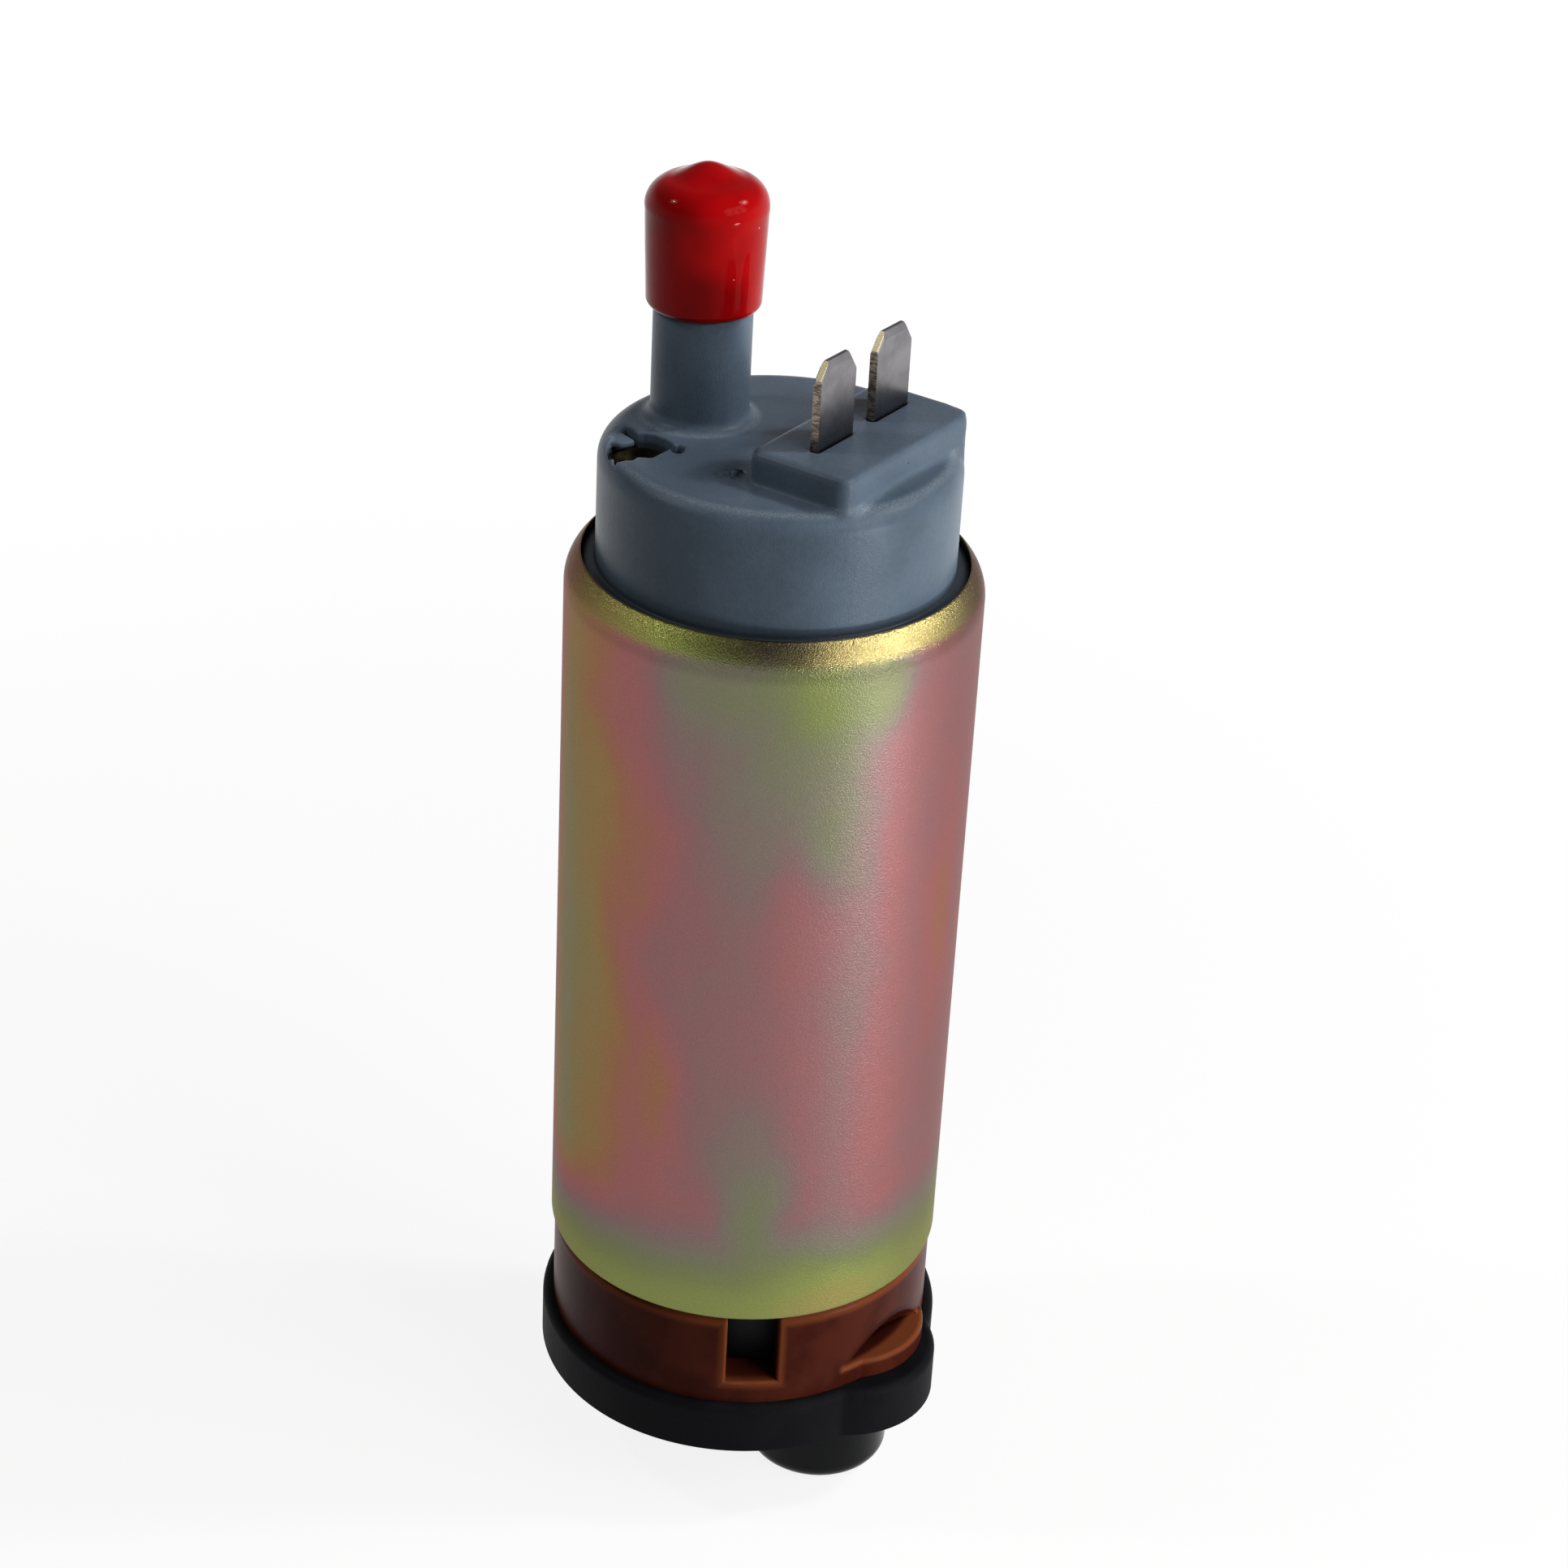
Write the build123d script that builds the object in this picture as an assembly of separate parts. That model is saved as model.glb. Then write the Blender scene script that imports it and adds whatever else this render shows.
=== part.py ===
from build123d import *
from math import acos, asin, atan2, cos, degrees, dist, pi, radians, sin, sqrt
import os

# In-tank electric fuel pump with a turbine stage at the bottom and a brushed motor above it.
# Millimetres. The pump axis is Z, the outlet points up, and Z = 0 is the lower end of the
# shell's straight wall. +X runs along the terminal block and the outlet nipple lies towards +Y.

# Clearances
seat_gap = 0.05
stop_gap = 0.05
running_gap = 0.03
slide_gap = 0.1
air_gap = 0.6
thin_slice = 0.01

# Motor shell
shell_r = 19.0
shell_wall = 1.0
shell_straight = 68.3
shoulder_round = 4.1
lip_inset = 1.5
edge_round = 0.35
crimp_depth = 0.4
crimp_height = 1.05
crimp_play = 0.2

# Outlet cover
cover_inset = 1.24
cover_rise = 10.9
cover_wall = 2.26
cover_ceiling = 2.6
cover_top_round = 2.0
cover_skirt = 6.75
cover_skirt_wall = 2.8
flange_drop = 0.65
block_x0 = -9.4
block_x1 = 11.0
block_y0 = -13.1
block_y1 = -2.6
block_height = 3.0
block_round = 1.2
block_top_round = 0.7

# Blade terminals
blade_width = 5.4
blade_thick = 0.8
blade_height = 8.0
blade_from_choke = 3.2
blade_positive_x = -3.2
blade_negative_x = 5.55
blade_tip_x = 1.1
blade_tip_z = 1.6
blade_tip_thick = 0.36
blade_bevel_height = 0.65
blade_corner_bevel = 0.15
tail_width = 3.0
tail_overlap = 1.0
negative_tail_x = 3.4

# Outlet nipple and its check valve
nipple_inset = 7.26
nipple_r = 4.45
nipple_bore_r = 3.3
nipple_height = 19.7
nipple_tip_relief = 0.2
nipple_tip_over = 0.1
nipple_foot_round = 1.0
nipple_tip_round = 0.5
check_seat_height = 2.0
check_seat_bore_r = 1.9
check_head_r = 2.6
check_head_height = 2.3
check_nose_r = 1.7
check_nose_height = 1.0
check_stem_r = 0.9
check_head_chamfer = 0.4
check_stem_past = 0.5
check_wire_r = 0.25
check_coil_r = 1.75
check_coil_turns = 6
check_coil_height = 7.6
check_guide_height = 1.9
check_guide_hole_r = 0.6
check_guide_hole_circle_r = 2.1
check_guide_holes = 4

# Dust cap over the nipple
cap_r = 5.51
cap_draft = 0.036
cap_engagement = 9.3
cap_height = 13.1
cap_crown = 1.3
cap_shoulder_round = 2.6
cap_tip_round = 1.5
cap_rim_round = 0.75

# Relief valve in the cover top
relief_inset = 3.456
relief_y = 8.8
relief_r = 2.9
relief_wall = 1.0
relief_depth = 12.9
relief_floor = 0.9
relief_drain_r = 1.3
relief_corner_dx = 1.9
relief_corner_dy = 3.0
relief_corner_r = 1.0
relief_corner_depth = 1.3
relief_pit_dx = 1.85
relief_pit_dy = -3.0
relief_pit_r = 0.55
relief_pit_length = 1.9
relief_pit_turn = 17.0
relief_pit_depth = 1.0
relief_groove_dx = -3.9
relief_groove_dy = -0.1
relief_groove_width = 0.5
relief_groove_length = 4.0
relief_groove_turn = 25.0
relief_groove_depth = 0.8
relief_flap_drop = 0.35
relief_flap_thick = 0.6
relief_flap_reach = 1.9
relief_flap_root = 0.3
relief_flap_dx0 = -0.4
relief_flap_dx1 = 1.7
relief_seat_height = 2.0
relief_seat_bore_r = 1.3
relief_ball_r = 2.0
relief_wire_r = 0.22
relief_coil_r = 1.45
relief_coil_turns = 4
relief_plate = 0.5
relief_plate_drop = 1.9
relief_plate_hole_r = 1.3
relief_rim_height = 0.5
relief_rim_wall = 0.4

# Brush holder
holder_plate = 3.0
holder_skirt = 9.4
holder_skirt_wall = 1.45
holder_boss_r = 5.2
holder_boss_height = 8.0
brush_radial = 4.4
brush_across = 6.0
brush_length = 11.0
brush_x = 7.8
tube_wall = 0.9
tube_top_gap = 0.8
spring_wire_r = 0.2
spring_coil_r = 1.75
spring_turns = 8
lead_r = 0.4
lead_height = 9.2
lead_slot = 2.0
lead_slot_start = 1.0
lead_stand_off = 1.05
lead_run = 1.15
lead_below_top = 1.8
lead_top_bend = 2.4
lead_foot_bend = 1.6
flow_hole_r = 2.0
flow_hole_inset = 4.55
flow_hole_angles = (30, 90, 150, 210, 330)

# Suppression chokes
choke_x = 4.8
choke_wall_gap = 0.35
choke_core_r = 1.4
choke_core_length = 14.0
choke_wire_r = 0.35
choke_pitch = 1.2
choke_turns = 8.5
choke_cup_wall = 0.85
choke_cup_height = 3.4
choke_cup_depth = 2.5
terminal_tail_below = 1.0

# Rotor
shaft_r = 2.0
shaft_flat = 0.5
bearing_r = 4.0
bearing_length = 6.0
bearing_sink = 0.5
bearing_ledge = 0.8
bearing_chamfer = 0.3
shaft_chamfer = 0.3
shaft_hole_gap = 0.6
shaft_past_bearing = 0.6
core_to_magnet_end = 3.0
tooth_count = 8
tooth_width = 2.6
tooth_tip = 1.3
slot_mouth = 1.2
slot_root_r = 5.2
winding_gap = 0.12
head_height = 5.0
head_round = 2.0
head_inner_r = 4.2
head_inset = 1.0
hub_gap = 0.4
hub_neck_r = 4.5
segment_count = 8
segment_height = 2.5
segment_split = 0.5
commutator_r = 10.8
commutator_drop = 1.5
tang_width = 1.6
tang_length = 0.9
tang_height = 1.2
tang_root = 0.5

# Magnets
magnet_thick = 5.0
magnet_span = 130.0
clip_sheet = 0.5
clip_leg = 4.0
clip_gap = 0.2

# Turbine stage
pump_face = 1.0
casing_flange = 5.0
casing_boss = 3.0
casing_boss_r = 6.0
casing_skirt = 6.9
casing_skirt_wall = 1.45
impeller_wall = 1.05
impeller_thick = 3.8
impeller_side_gap = 0.08
impeller_tip_gap = 0.35
blade_count = 32
blade_slot = 1.3
blade_slot_radial = 2.1
blade_slot_depth = 1.6
channel_width = 3.05
channel_depth = 1.6
channel_stop_angle = 40.0
channel_stop_at = -60.0
outlet_port_at = -20.0
inlet_port_at = -92.7
port_r = 1.4
seal_r = 0.85
casing_seal_z = 7.6
cover_seal_up = 3.3
spigot_wall = 2.9
pump_cover_plate = 4.5
pump_cover_skirt_wall = 1.1
button_r = 2.6
button_height = 1.5
button_drop = 1.2

# Inlet cover
inlet_inset = 0.35
inlet_depth = 13.5
inlet_floor_drop = 7.65
inlet_floor = 2.4
inlet_top_round = 1.0
inlet_under_wall = 2.2
spigot_height = 5.0
rib_count = 6
rib_width = 1.4
rib_lift = 1.0
rib_first_at = 30.0
window_at = -141.5
window_width = 4.9
window_root = 0.5
window_edge_round = 0.3
window_span = 20.0
outer_edge_reach = 0.6
scoop_at = -93.5
scoop_out = 10.95
scoop_r = 13.3
scoop_slope = 0.712
scoop_rise = 6.0
scoop_edge_round = 0.35
scoop_span = 60.0
ledge_drop = 8.05
lobe_x = 0.6
lobe_r = 8.1
lobe_out = 1.45
lobe_edge_round = 0.4

# Rubber foot
foot_stand_out = 0.7
foot_height = 5.2
foot_floor = 1.7
foot_lip_r = 13.0
foot_lobe_x = -0.35
foot_lobe_r = 9.0
foot_lobe_out = 2.4
foot_kink_round = 1.5
foot_edge_round = 0.8
foot_collar_wall = 2.0

# Inlet neck
neck_x = -0.5
neck_from_lobe = 2.5
neck_r = 7.0
neck_land_r = 7.2
neck_bore_r = 4.3
neck_spigot_r = 6.0
neck_out = 8.85
neck_end_round = 1.6
neck_mouth_round = 0.8
neck_boss_wall = 1.6

# Places that follow from the sizes
bore_r = shell_r - shell_wall
shoulder_r = shell_r - shoulder_round
lip_r = shell_r - lip_inset
cover_r = lip_r - cover_inset
lip_z = shell_straight + sqrt(shoulder_round**2 - (lip_r - shoulder_r) ** 2)
cover_top = lip_z + cover_rise
ceiling = cover_top - cover_ceiling
block_top = cover_top + block_height
cover_bore_r = cover_r - cover_wall
cover_bottom = shell_straight - cover_skirt
inside_r = bore_r - seat_gap
nipple_y = cover_r - nipple_inset
relief_x = -sqrt((cover_r - relief_inset) ** 2 - relief_y**2)
flow_hole_circle_r = inside_r - flow_hole_inset
choke_coil_r = choke_core_r + 2 * seat_gap + choke_wire_r
choke_reach = cover_bore_r - choke_wall_gap - choke_coil_r - choke_wire_r
choke_y = -sqrt(choke_reach**2 - choke_x**2)
blade_y = choke_y + blade_from_choke
nipple_top = cover_top + nipple_height
check_seat_top = ceiling + check_seat_height
check_head_top = check_seat_top + stop_gap + check_head_height
check_guide_bottom = check_head_top + check_coil_height
check_guide_top = check_guide_bottom + check_guide_height
cap_bottom = nipple_top - cap_engagement
nipple_tip_r = nipple_r - nipple_tip_relief
nipple_tip_bottom = cap_bottom - nipple_tip_over
cap_top = cap_bottom + cap_height
cap_shoulder_z = cap_top - cap_crown - cap_shoulder_round
relief_bottom = cover_top - relief_depth
relief_seat_bottom = relief_bottom + relief_floor + stop_gap
relief_seat_top = relief_seat_bottom + relief_seat_height
relief_ball_z = relief_seat_top + sqrt(relief_ball_r**2 - relief_seat_bore_r**2) + stop_gap
relief_plate_top = cover_top - relief_plate_drop
relief_plate_bottom = relief_plate_top - relief_plate
holder_top = cover_bottom - stop_gap
holder_bottom = holder_top - holder_plate
holder_skirt_bottom = holder_bottom - holder_skirt
holder_tube_top = ceiling - tube_top_gap
commutator_face = holder_bottom - commutator_drop
brush_bottom = commutator_face + slide_gap
brush_top = brush_bottom + brush_length
upper_bearing_bottom = holder_top - bearing_sink
lead_bottom = brush_top - lead_below_top
lead_top = lead_bottom + lead_height
lead_drop_y = -brush_across / 2 - slide_gap - tube_wall - lead_stand_off
inlet_r = shell_r - inlet_inset
lobe_y = lobe_r - inlet_r - lobe_out
inlet_top = -edge_round - stop_gap
inlet_bottom = inlet_top - inlet_depth
inlet_floor_top = inlet_top - inlet_floor_drop
ledge_z = inlet_top - ledge_drop
casing_bottom = pump_face + stop_gap
casing_step = spigot_height + stop_gap
casing_top = casing_step + casing_flange
casing_boss_top = casing_top + casing_boss
lower_bearing_bottom = casing_boss_top - bearing_length - bearing_ledge
magnet_bottom = casing_top + casing_skirt + stop_gap
magnet_top = holder_skirt_bottom - stop_gap
magnet_inner_r = inside_r - magnet_thick
armature_r = magnet_inner_r - air_gap
core_bottom = magnet_bottom + core_to_magnet_end
core_top = magnet_top - core_to_magnet_end
segment_bottom = commutator_face - segment_height
hub_bottom = core_top + head_height + hub_gap
pump_cover_r = inside_r - spigot_wall - seat_gap
pocket_r = pump_cover_r - impeller_wall
impeller_r = pocket_r - impeller_tip_gap
channel_inner_r = pocket_r - channel_width
impeller_bottom = casing_bottom + impeller_side_gap
pocket_top = impeller_bottom + impeller_thick + impeller_side_gap
button_top = pump_face - button_drop
foot_r = shell_r + foot_stand_out
foot_lobe_y = foot_lobe_r - foot_r - foot_lobe_out
neck_y = foot_lobe_y + neck_from_lobe
foot_top = inlet_bottom + foot_height - foot_floor - stop_gap
foot_bottom = foot_top - foot_height
neck_shoulder = inlet_bottom - stop_gap
neck_bottom = foot_bottom - neck_out

upright = (Align.CENTER, Align.CENTER, Align.MIN)


# A solid cylinder between two heights.
def drum(r, low, high, x=0.0, y=0.0):
    return Pos(x, y, low) * Cylinder(r, high - low, align=upright)


# A hollow cylinder between two heights.
def sleeve(r_out, r_in, low, high, x=0.0, y=0.0):
    return drum(r_out, low, high, x, y) - drum(r_in, low, high, x, y)


# A box given by its three ranges.
def block(x0, x1, y0, y1, low, high):
    middle = Pos((x0 + x1) / 2, (y0 + y1) / 2, (low + high) / 2)
    return middle * Box(x1 - x0, y1 - y0, high - low)


# A solid turned about the pump axis from lines drawn as (radius, height).
def turned(*lines):
    return revolve(Plane.XZ * make_face(list(lines)), Axis.Z)


# Copies of a solid spread evenly about the pump axis.
def around(count, solid, start=0.0):
    return [Rot(0, 0, start + 360.0 * i / count) * solid for i in range(count)]


# A wedge of a full turn, reaching from the axis out past a radius.
def wedge(r, low, high, middle_angle, span):
    reach = 2 * r
    half = radians(span / 2)
    middle = radians(middle_angle)
    count = 6
    steps = [middle - half + 2 * half * i / count for i in range(count + 1)]
    rim = [(reach * cos(a), reach * sin(a)) for a in steps]
    face = make_face(Polyline((0, 0), *rim, close=True))
    return extrude(Pos(0, 0, low) * face, high - low)


# The point at a radius and an angle in degrees.
def polar(r, angle):
    return r * cos(radians(angle)), r * sin(radians(angle))


# Two tangent arcs that join one point and direction to the next.
def joined(start, start_way, end, end_way):
    span = end - start
    lean = 1 - start_way.dot(end_way)
    along = span.dot(start_way + end_way)
    if span.normalized().dot(start_way) > 1 - 1e-9 and lean < 1e-9:
        return [Line(start, end)]
    if lean < 1e-9:
        reach = span.dot(span) / (2 * along)
    else:
        reach = (sqrt(along**2 + 2 * lean * span.dot(span)) - along) / (2 * lean)
    near = start + start_way * reach
    far = end - end_way * reach
    meet = (near + far) * 0.5
    middle_way = (far - near).normalized()
    return [TangentArc(start, meet, tangent=start_way), TangentArc(meet, end, tangent=middle_way)]


# A round wire along stations, each a point and a direction.
def wire_along(stations, r):
    edges = []
    for (start, start_way), (end, end_way) in zip(stations, stations[1:]):
        edges += joined(start, start_way, end, end_way)
    section = Plane(origin=stations[0][0], z_dir=stations[0][1]) * Circle(r)
    return sweep(section, path=Wire(edges))


# Stations of a coil, one each half turn, with the direction of travel at each.
def coil_stations(x, y, low, r, pitch, turns, hand=1, start=0.0):
    stations = []
    for i in range(int(round(2 * turns)) + 1):
        angle = radians(start) + hand * pi * i
        point = Vector(x + r * cos(angle), y + r * sin(angle), low + pitch * i / 2)
        way = Vector(-hand * r * sin(angle), hand * r * cos(angle), pitch / (2 * pi))
        stations.append((point, way.normalized()))
    return stations


# Prints the least gap between one turn of a coil and the next, measured on points.
def print_coil_gap(name, r, pitch, turns, wire_r):
    steps = 24
    count = int(steps * turns) + 1
    points = []
    for i in range(count):
        angle = 2 * pi * i / steps
        points.append((r * cos(angle), r * sin(angle), pitch * i / steps))
    near = min(dist(a, b) for i, a in enumerate(points) for b in points[i + steps // 2:])
    print(name, "least gap to itself", round(near - 2 * wire_r, 3), "mm")


# A compression spring standing between two flat seats.
def spring(name, x, y, low, high, coil_r, wire_r, turns):
    first = low + wire_r + stop_gap
    last = high - wire_r - stop_gap
    pitch = (last - first) / turns
    print_coil_gap(name, coil_r, pitch, turns, wire_r)
    return wire_along(coil_stations(x, y, first, coil_r, pitch, turns), wire_r)


# Edges of a solid that lie at one height.
def edges_at(solid, z):
    return [e for e in solid.edges() if abs(e.center().Z - z) < thin_slice
            and e.bounding_box().size.Z < thin_slice]


# Circular edges of one radius at one height.
def rims_at(solid, z, r):
    return [e for e in edges_at(solid, z) if e.geom_type == GeomType.CIRCLE
            and abs(e.radius - r) < thin_slice]


def motor_shell():
    outer_sweep = degrees(acos((lip_r - shoulder_r) / shoulder_round))
    inner_round = shoulder_round - shell_wall
    inner_sweep = degrees(acos((lip_r - shoulder_r) / inner_round))
    inner_lip_z = shell_straight + inner_round * sin(radians(inner_sweep))
    bead_r = bore_r - crimp_depth
    bead_top = crimp_height + crimp_depth
    return turned(
        CenterArc((shell_r - edge_round, 0), edge_round, -90, 90),
        Line((shell_r, 0), (shell_r, shell_straight)),
        CenterArc((shoulder_r, shell_straight), shoulder_round, 0, outer_sweep),
        Line((lip_r, lip_z), (lip_r, inner_lip_z)),
        CenterArc((shoulder_r, shell_straight), inner_round, 0, inner_sweep),
        Polyline((bore_r, shell_straight), (bore_r, bead_top), (bead_r, crimp_height),
                 (bead_r, -edge_round), (shell_r - edge_round, -edge_round)),
    )


def blade_slot_cut(x, tail_x):
    half = blade_width / 2 + seat_gap
    half_thick = blade_thick / 2 + seat_gap
    slot = block(x - half, x + half, blade_y - half_thick, blade_y + half_thick,
                 ceiling, block_top)
    tail_half = tail_width / 2 + seat_gap
    tail = block(tail_x - tail_half, tail_x + tail_half, blade_y - half_thick,
                 blade_y + half_thick, ceiling, ceiling + tail_overlap + seat_gap)
    return slot + tail


def outlet_cover():
    flange_round = shoulder_round - shell_wall - seat_gap
    flange_r = lip_r - seat_gap
    flange_top = lip_z - flange_drop
    flange_sweep = degrees(acos((flange_r - shoulder_r) / flange_round))
    flange_z = shell_straight + flange_round * sin(radians(flange_sweep))
    skirt_r = inside_r - cover_skirt_wall
    cup = turned(
        Polyline((skirt_r, cover_bottom), (inside_r, cover_bottom), (inside_r, shell_straight)),
        CenterArc((shoulder_r, shell_straight), flange_round, 0, flange_sweep),
        Polyline((flange_r, flange_z), (flange_r, flange_top), (cover_r, flange_top),
                 (cover_r, cover_top - cover_top_round)),
        CenterArc((cover_r - cover_top_round, cover_top - cover_top_round), cover_top_round, 0, 90),
        Polyline((cover_r - cover_top_round, cover_top), (0, cover_top), (0, ceiling),
                 (cover_bore_r, ceiling), (cover_bore_r, shell_straight),
                 (skirt_r, shell_straight), (skirt_r, cover_bottom)),
    )
    raised = block(block_x0, block_x1, block_y0, block_y1, ceiling, block_top)
    raised = fillet(raised.edges().filter_by(Axis.Z), block_round)
    raised = raised & drum(cover_r, ceiling, block_top)
    raised = fillet(edges_at(raised, block_top), block_top_round)
    relief_tube = drum(relief_r + relief_wall, relief_bottom, ceiling + thin_slice,
                       relief_x, relief_y)
    relief_tube = relief_tube & drum(cover_r - thin_slice, relief_bottom, ceiling + thin_slice)
    nipple = drum(nipple_r, ceiling, nipple_tip_bottom, 0, nipple_y)
    nipple += drum(nipple_tip_r, ceiling, nipple_top, 0, nipple_y)
    cover = cup + raised + relief_tube + nipple
    foot_rim = rims_at(cover, cover_top, nipple_r)
    cover = fillet(foot_rim, nipple_foot_round)
    cover = fillet(rims_at(cover, nipple_top, nipple_tip_r), nipple_tip_round)
    cover -= drum(nipple_bore_r, ceiling, nipple_top, 0, nipple_y)
    cover -= drum(relief_r, relief_bottom + relief_floor, cover_top, relief_x, relief_y)
    cover -= drum(relief_drain_r, relief_bottom, cover_top, relief_x, relief_y)
    cover -= relief_marks()
    cover += relief_flap()
    cover -= blade_slot_cut(blade_positive_x, blade_positive_x)
    cover -= blade_slot_cut(blade_negative_x, negative_tail_x)
    groove_r = inside_r - 2 * seal_r - seat_gap
    groove_low = cover_bottom + cover_seal_up - seal_r - seat_gap
    groove_high = cover_bottom + cover_seal_up + seal_r + seat_gap
    return cover - sleeve(shell_r, groove_r, groove_low, groove_high)


# The rounded corner, the small pit and the groove that break the edge of the relief hole.
def relief_marks():
    corner = drum(relief_corner_r, cover_top - relief_corner_depth, cover_top,
                  relief_x + relief_corner_dx, relief_y + relief_corner_dy)
    pit = extrude(SlotOverall(relief_pit_length, 2 * relief_pit_r), relief_pit_depth)
    pit = Rot(0, 0, relief_pit_turn) * pit
    pit = Pos(relief_pit_dx, relief_pit_dy, cover_top - relief_pit_depth) * pit
    groove = Box(relief_groove_length, relief_groove_width, relief_groove_depth, align=upright)
    groove = Rot(0, 0, relief_groove_turn) * groove
    groove = Pos(relief_groove_dx, relief_groove_dy, cover_top - relief_groove_depth) * groove
    return corner + Pos(relief_x, relief_y, 0) * (pit + groove)


# The moulded flap that overhangs the relief hole.
def relief_flap():
    high = cover_top - relief_flap_drop
    rim = relief_y + relief_r
    return block(relief_x + relief_flap_dx0, relief_x + relief_flap_dx1, rim - relief_flap_reach,
                 rim + relief_flap_root, high - relief_flap_thick, high)


# A ring of round section lying in a groove just inside the shell's bore.
def seal_ring(z):
    return Pos(0, 0, z) * Torus(inside_r - seal_r, seal_r)


def terminal(x, tail_x, tail_bottom):
    half = blade_width / 2
    tip = block_top + blade_height
    face = make_face(Polyline(
        (x - half, ceiling), (x + half, ceiling), (x + half, tip - blade_tip_z),
        (x + half - blade_tip_x, tip), (x - half + blade_tip_x, tip),
        (x - half, tip - blade_tip_z), close=True))
    blade = extrude(Plane.XZ.offset(-blade_y - blade_thick / 2) * face, blade_thick)
    slants = [e for e in blade.edges() if tip - blade_tip_z < e.center().Z < tip - thin_slice
              and abs(e.center().Y - blade_y) > thin_slice]
    blade = chamfer(slants, blade_corner_bevel)
    side_on = Plane.YZ.offset(x - half) * make_face(Polyline(
        (blade_y - blade_thick / 2, ceiling), (blade_y + blade_thick / 2, ceiling),
        (blade_y + blade_thick / 2, tip - blade_bevel_height),
        (blade_y + blade_tip_thick / 2, tip), (blade_y - blade_tip_thick / 2, tip),
        (blade_y - blade_thick / 2, tip - blade_bevel_height), close=True))
    blade = blade & extrude(side_on, blade_width)
    tail = block(tail_x - tail_width / 2, tail_x + tail_width / 2, blade_y - blade_thick / 2,
                 blade_y + blade_thick / 2, tail_bottom, ceiling + tail_overlap)
    return blade + tail


def check_seat():
    seat = drum(nipple_bore_r - seat_gap, ceiling, check_seat_top, 0, nipple_y)
    return seat - drum(check_seat_bore_r, ceiling, check_seat_top, 0, nipple_y)


def check_poppet():
    head_bottom = check_seat_top + stop_gap
    head = drum(check_head_r, head_bottom, check_head_top, 0, nipple_y)
    head = chamfer(rims_at(head, check_head_top, check_head_r), check_head_chamfer)
    nose = drum(check_nose_r, head_bottom - check_nose_height, head_bottom, 0, nipple_y)
    stem = drum(check_stem_r, head_bottom, check_guide_top + check_stem_past, 0, nipple_y)
    return head + nose + stem


def check_spring():
    return spring("check_spring", 0, nipple_y, check_head_top, check_guide_bottom,
                  check_coil_r, check_wire_r, check_coil_turns)


def check_guide():
    disc = drum(nipple_bore_r - seat_gap, check_guide_bottom, check_guide_top, 0, nipple_y)
    disc -= drum(check_stem_r + slide_gap, check_guide_bottom, check_guide_top, 0, nipple_y)
    for i in range(check_guide_holes):
        x, y = polar(check_guide_hole_circle_r, 45 + 360 * i / check_guide_holes)
        disc -= drum(check_guide_hole_r, check_guide_bottom, check_guide_top, x, nipple_y + y)
    return disc


# The crown rises from the shoulder's top in a hollow flank that runs into a round tip.
def outlet_dust_cap():
    foot_r = cap_r - cap_draft * (cap_shoulder_z - cap_bottom)
    flat_r = cap_r - cap_shoulder_round
    flat_z = cap_shoulder_z + cap_shoulder_round
    tip_z = cap_top - cap_tip_round
    drop = tip_z - flat_z
    flank_r = (flat_r**2 + drop**2 - cap_tip_round**2) / (2 * (cap_tip_round + drop))
    flank_z = flat_z + flank_r
    lean = degrees(atan2(flank_z - tip_z, flat_r))
    body = turned(
        Line((foot_r, cap_bottom), (cap_r, cap_shoulder_z)),
        CenterArc((flat_r, cap_shoulder_z), cap_shoulder_round, 0, 90),
        CenterArc((flat_r, flank_z), flank_r, -90, lean - 90),
        CenterArc((0, tip_z), cap_tip_round, lean, 90 - lean),
        Polyline((0, cap_top), (0, cap_bottom), (foot_r, cap_bottom)),
    )
    body = fillet(rims_at(body, cap_bottom, foot_r), cap_rim_round)
    hollow = drum(nipple_tip_r + seat_gap, cap_bottom, nipple_top + stop_gap)
    return Pos(0, nipple_y, 0) * (body - hollow)


def relief_seat():
    seat = drum(relief_r - seat_gap, relief_seat_bottom, relief_seat_top, relief_x, relief_y)
    return seat - drum(relief_seat_bore_r, relief_seat_bottom, relief_seat_top, relief_x, relief_y)


def relief_ball():
    return Pos(relief_x, relief_y, relief_ball_z) * Sphere(relief_ball_r)


def relief_spring():
    rest = relief_ball_z + sqrt(relief_ball_r**2 - relief_coil_r**2)
    return spring("relief_spring", relief_x, relief_y, rest + relief_wire_r, relief_plate_bottom,
                  relief_coil_r, relief_wire_r, relief_coil_turns)


def relief_retainer():
    plate = drum(relief_r - seat_gap, relief_plate_bottom, relief_plate_top, relief_x, relief_y)
    plate -= drum(relief_plate_hole_r, relief_plate_bottom, relief_plate_top, relief_x, relief_y)
    rim_r = relief_r - seat_gap
    rim = sleeve(rim_r, rim_r - relief_rim_wall, relief_plate_bottom,
                 relief_plate_top + relief_rim_height, relief_x, relief_y)
    return plate + rim


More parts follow.
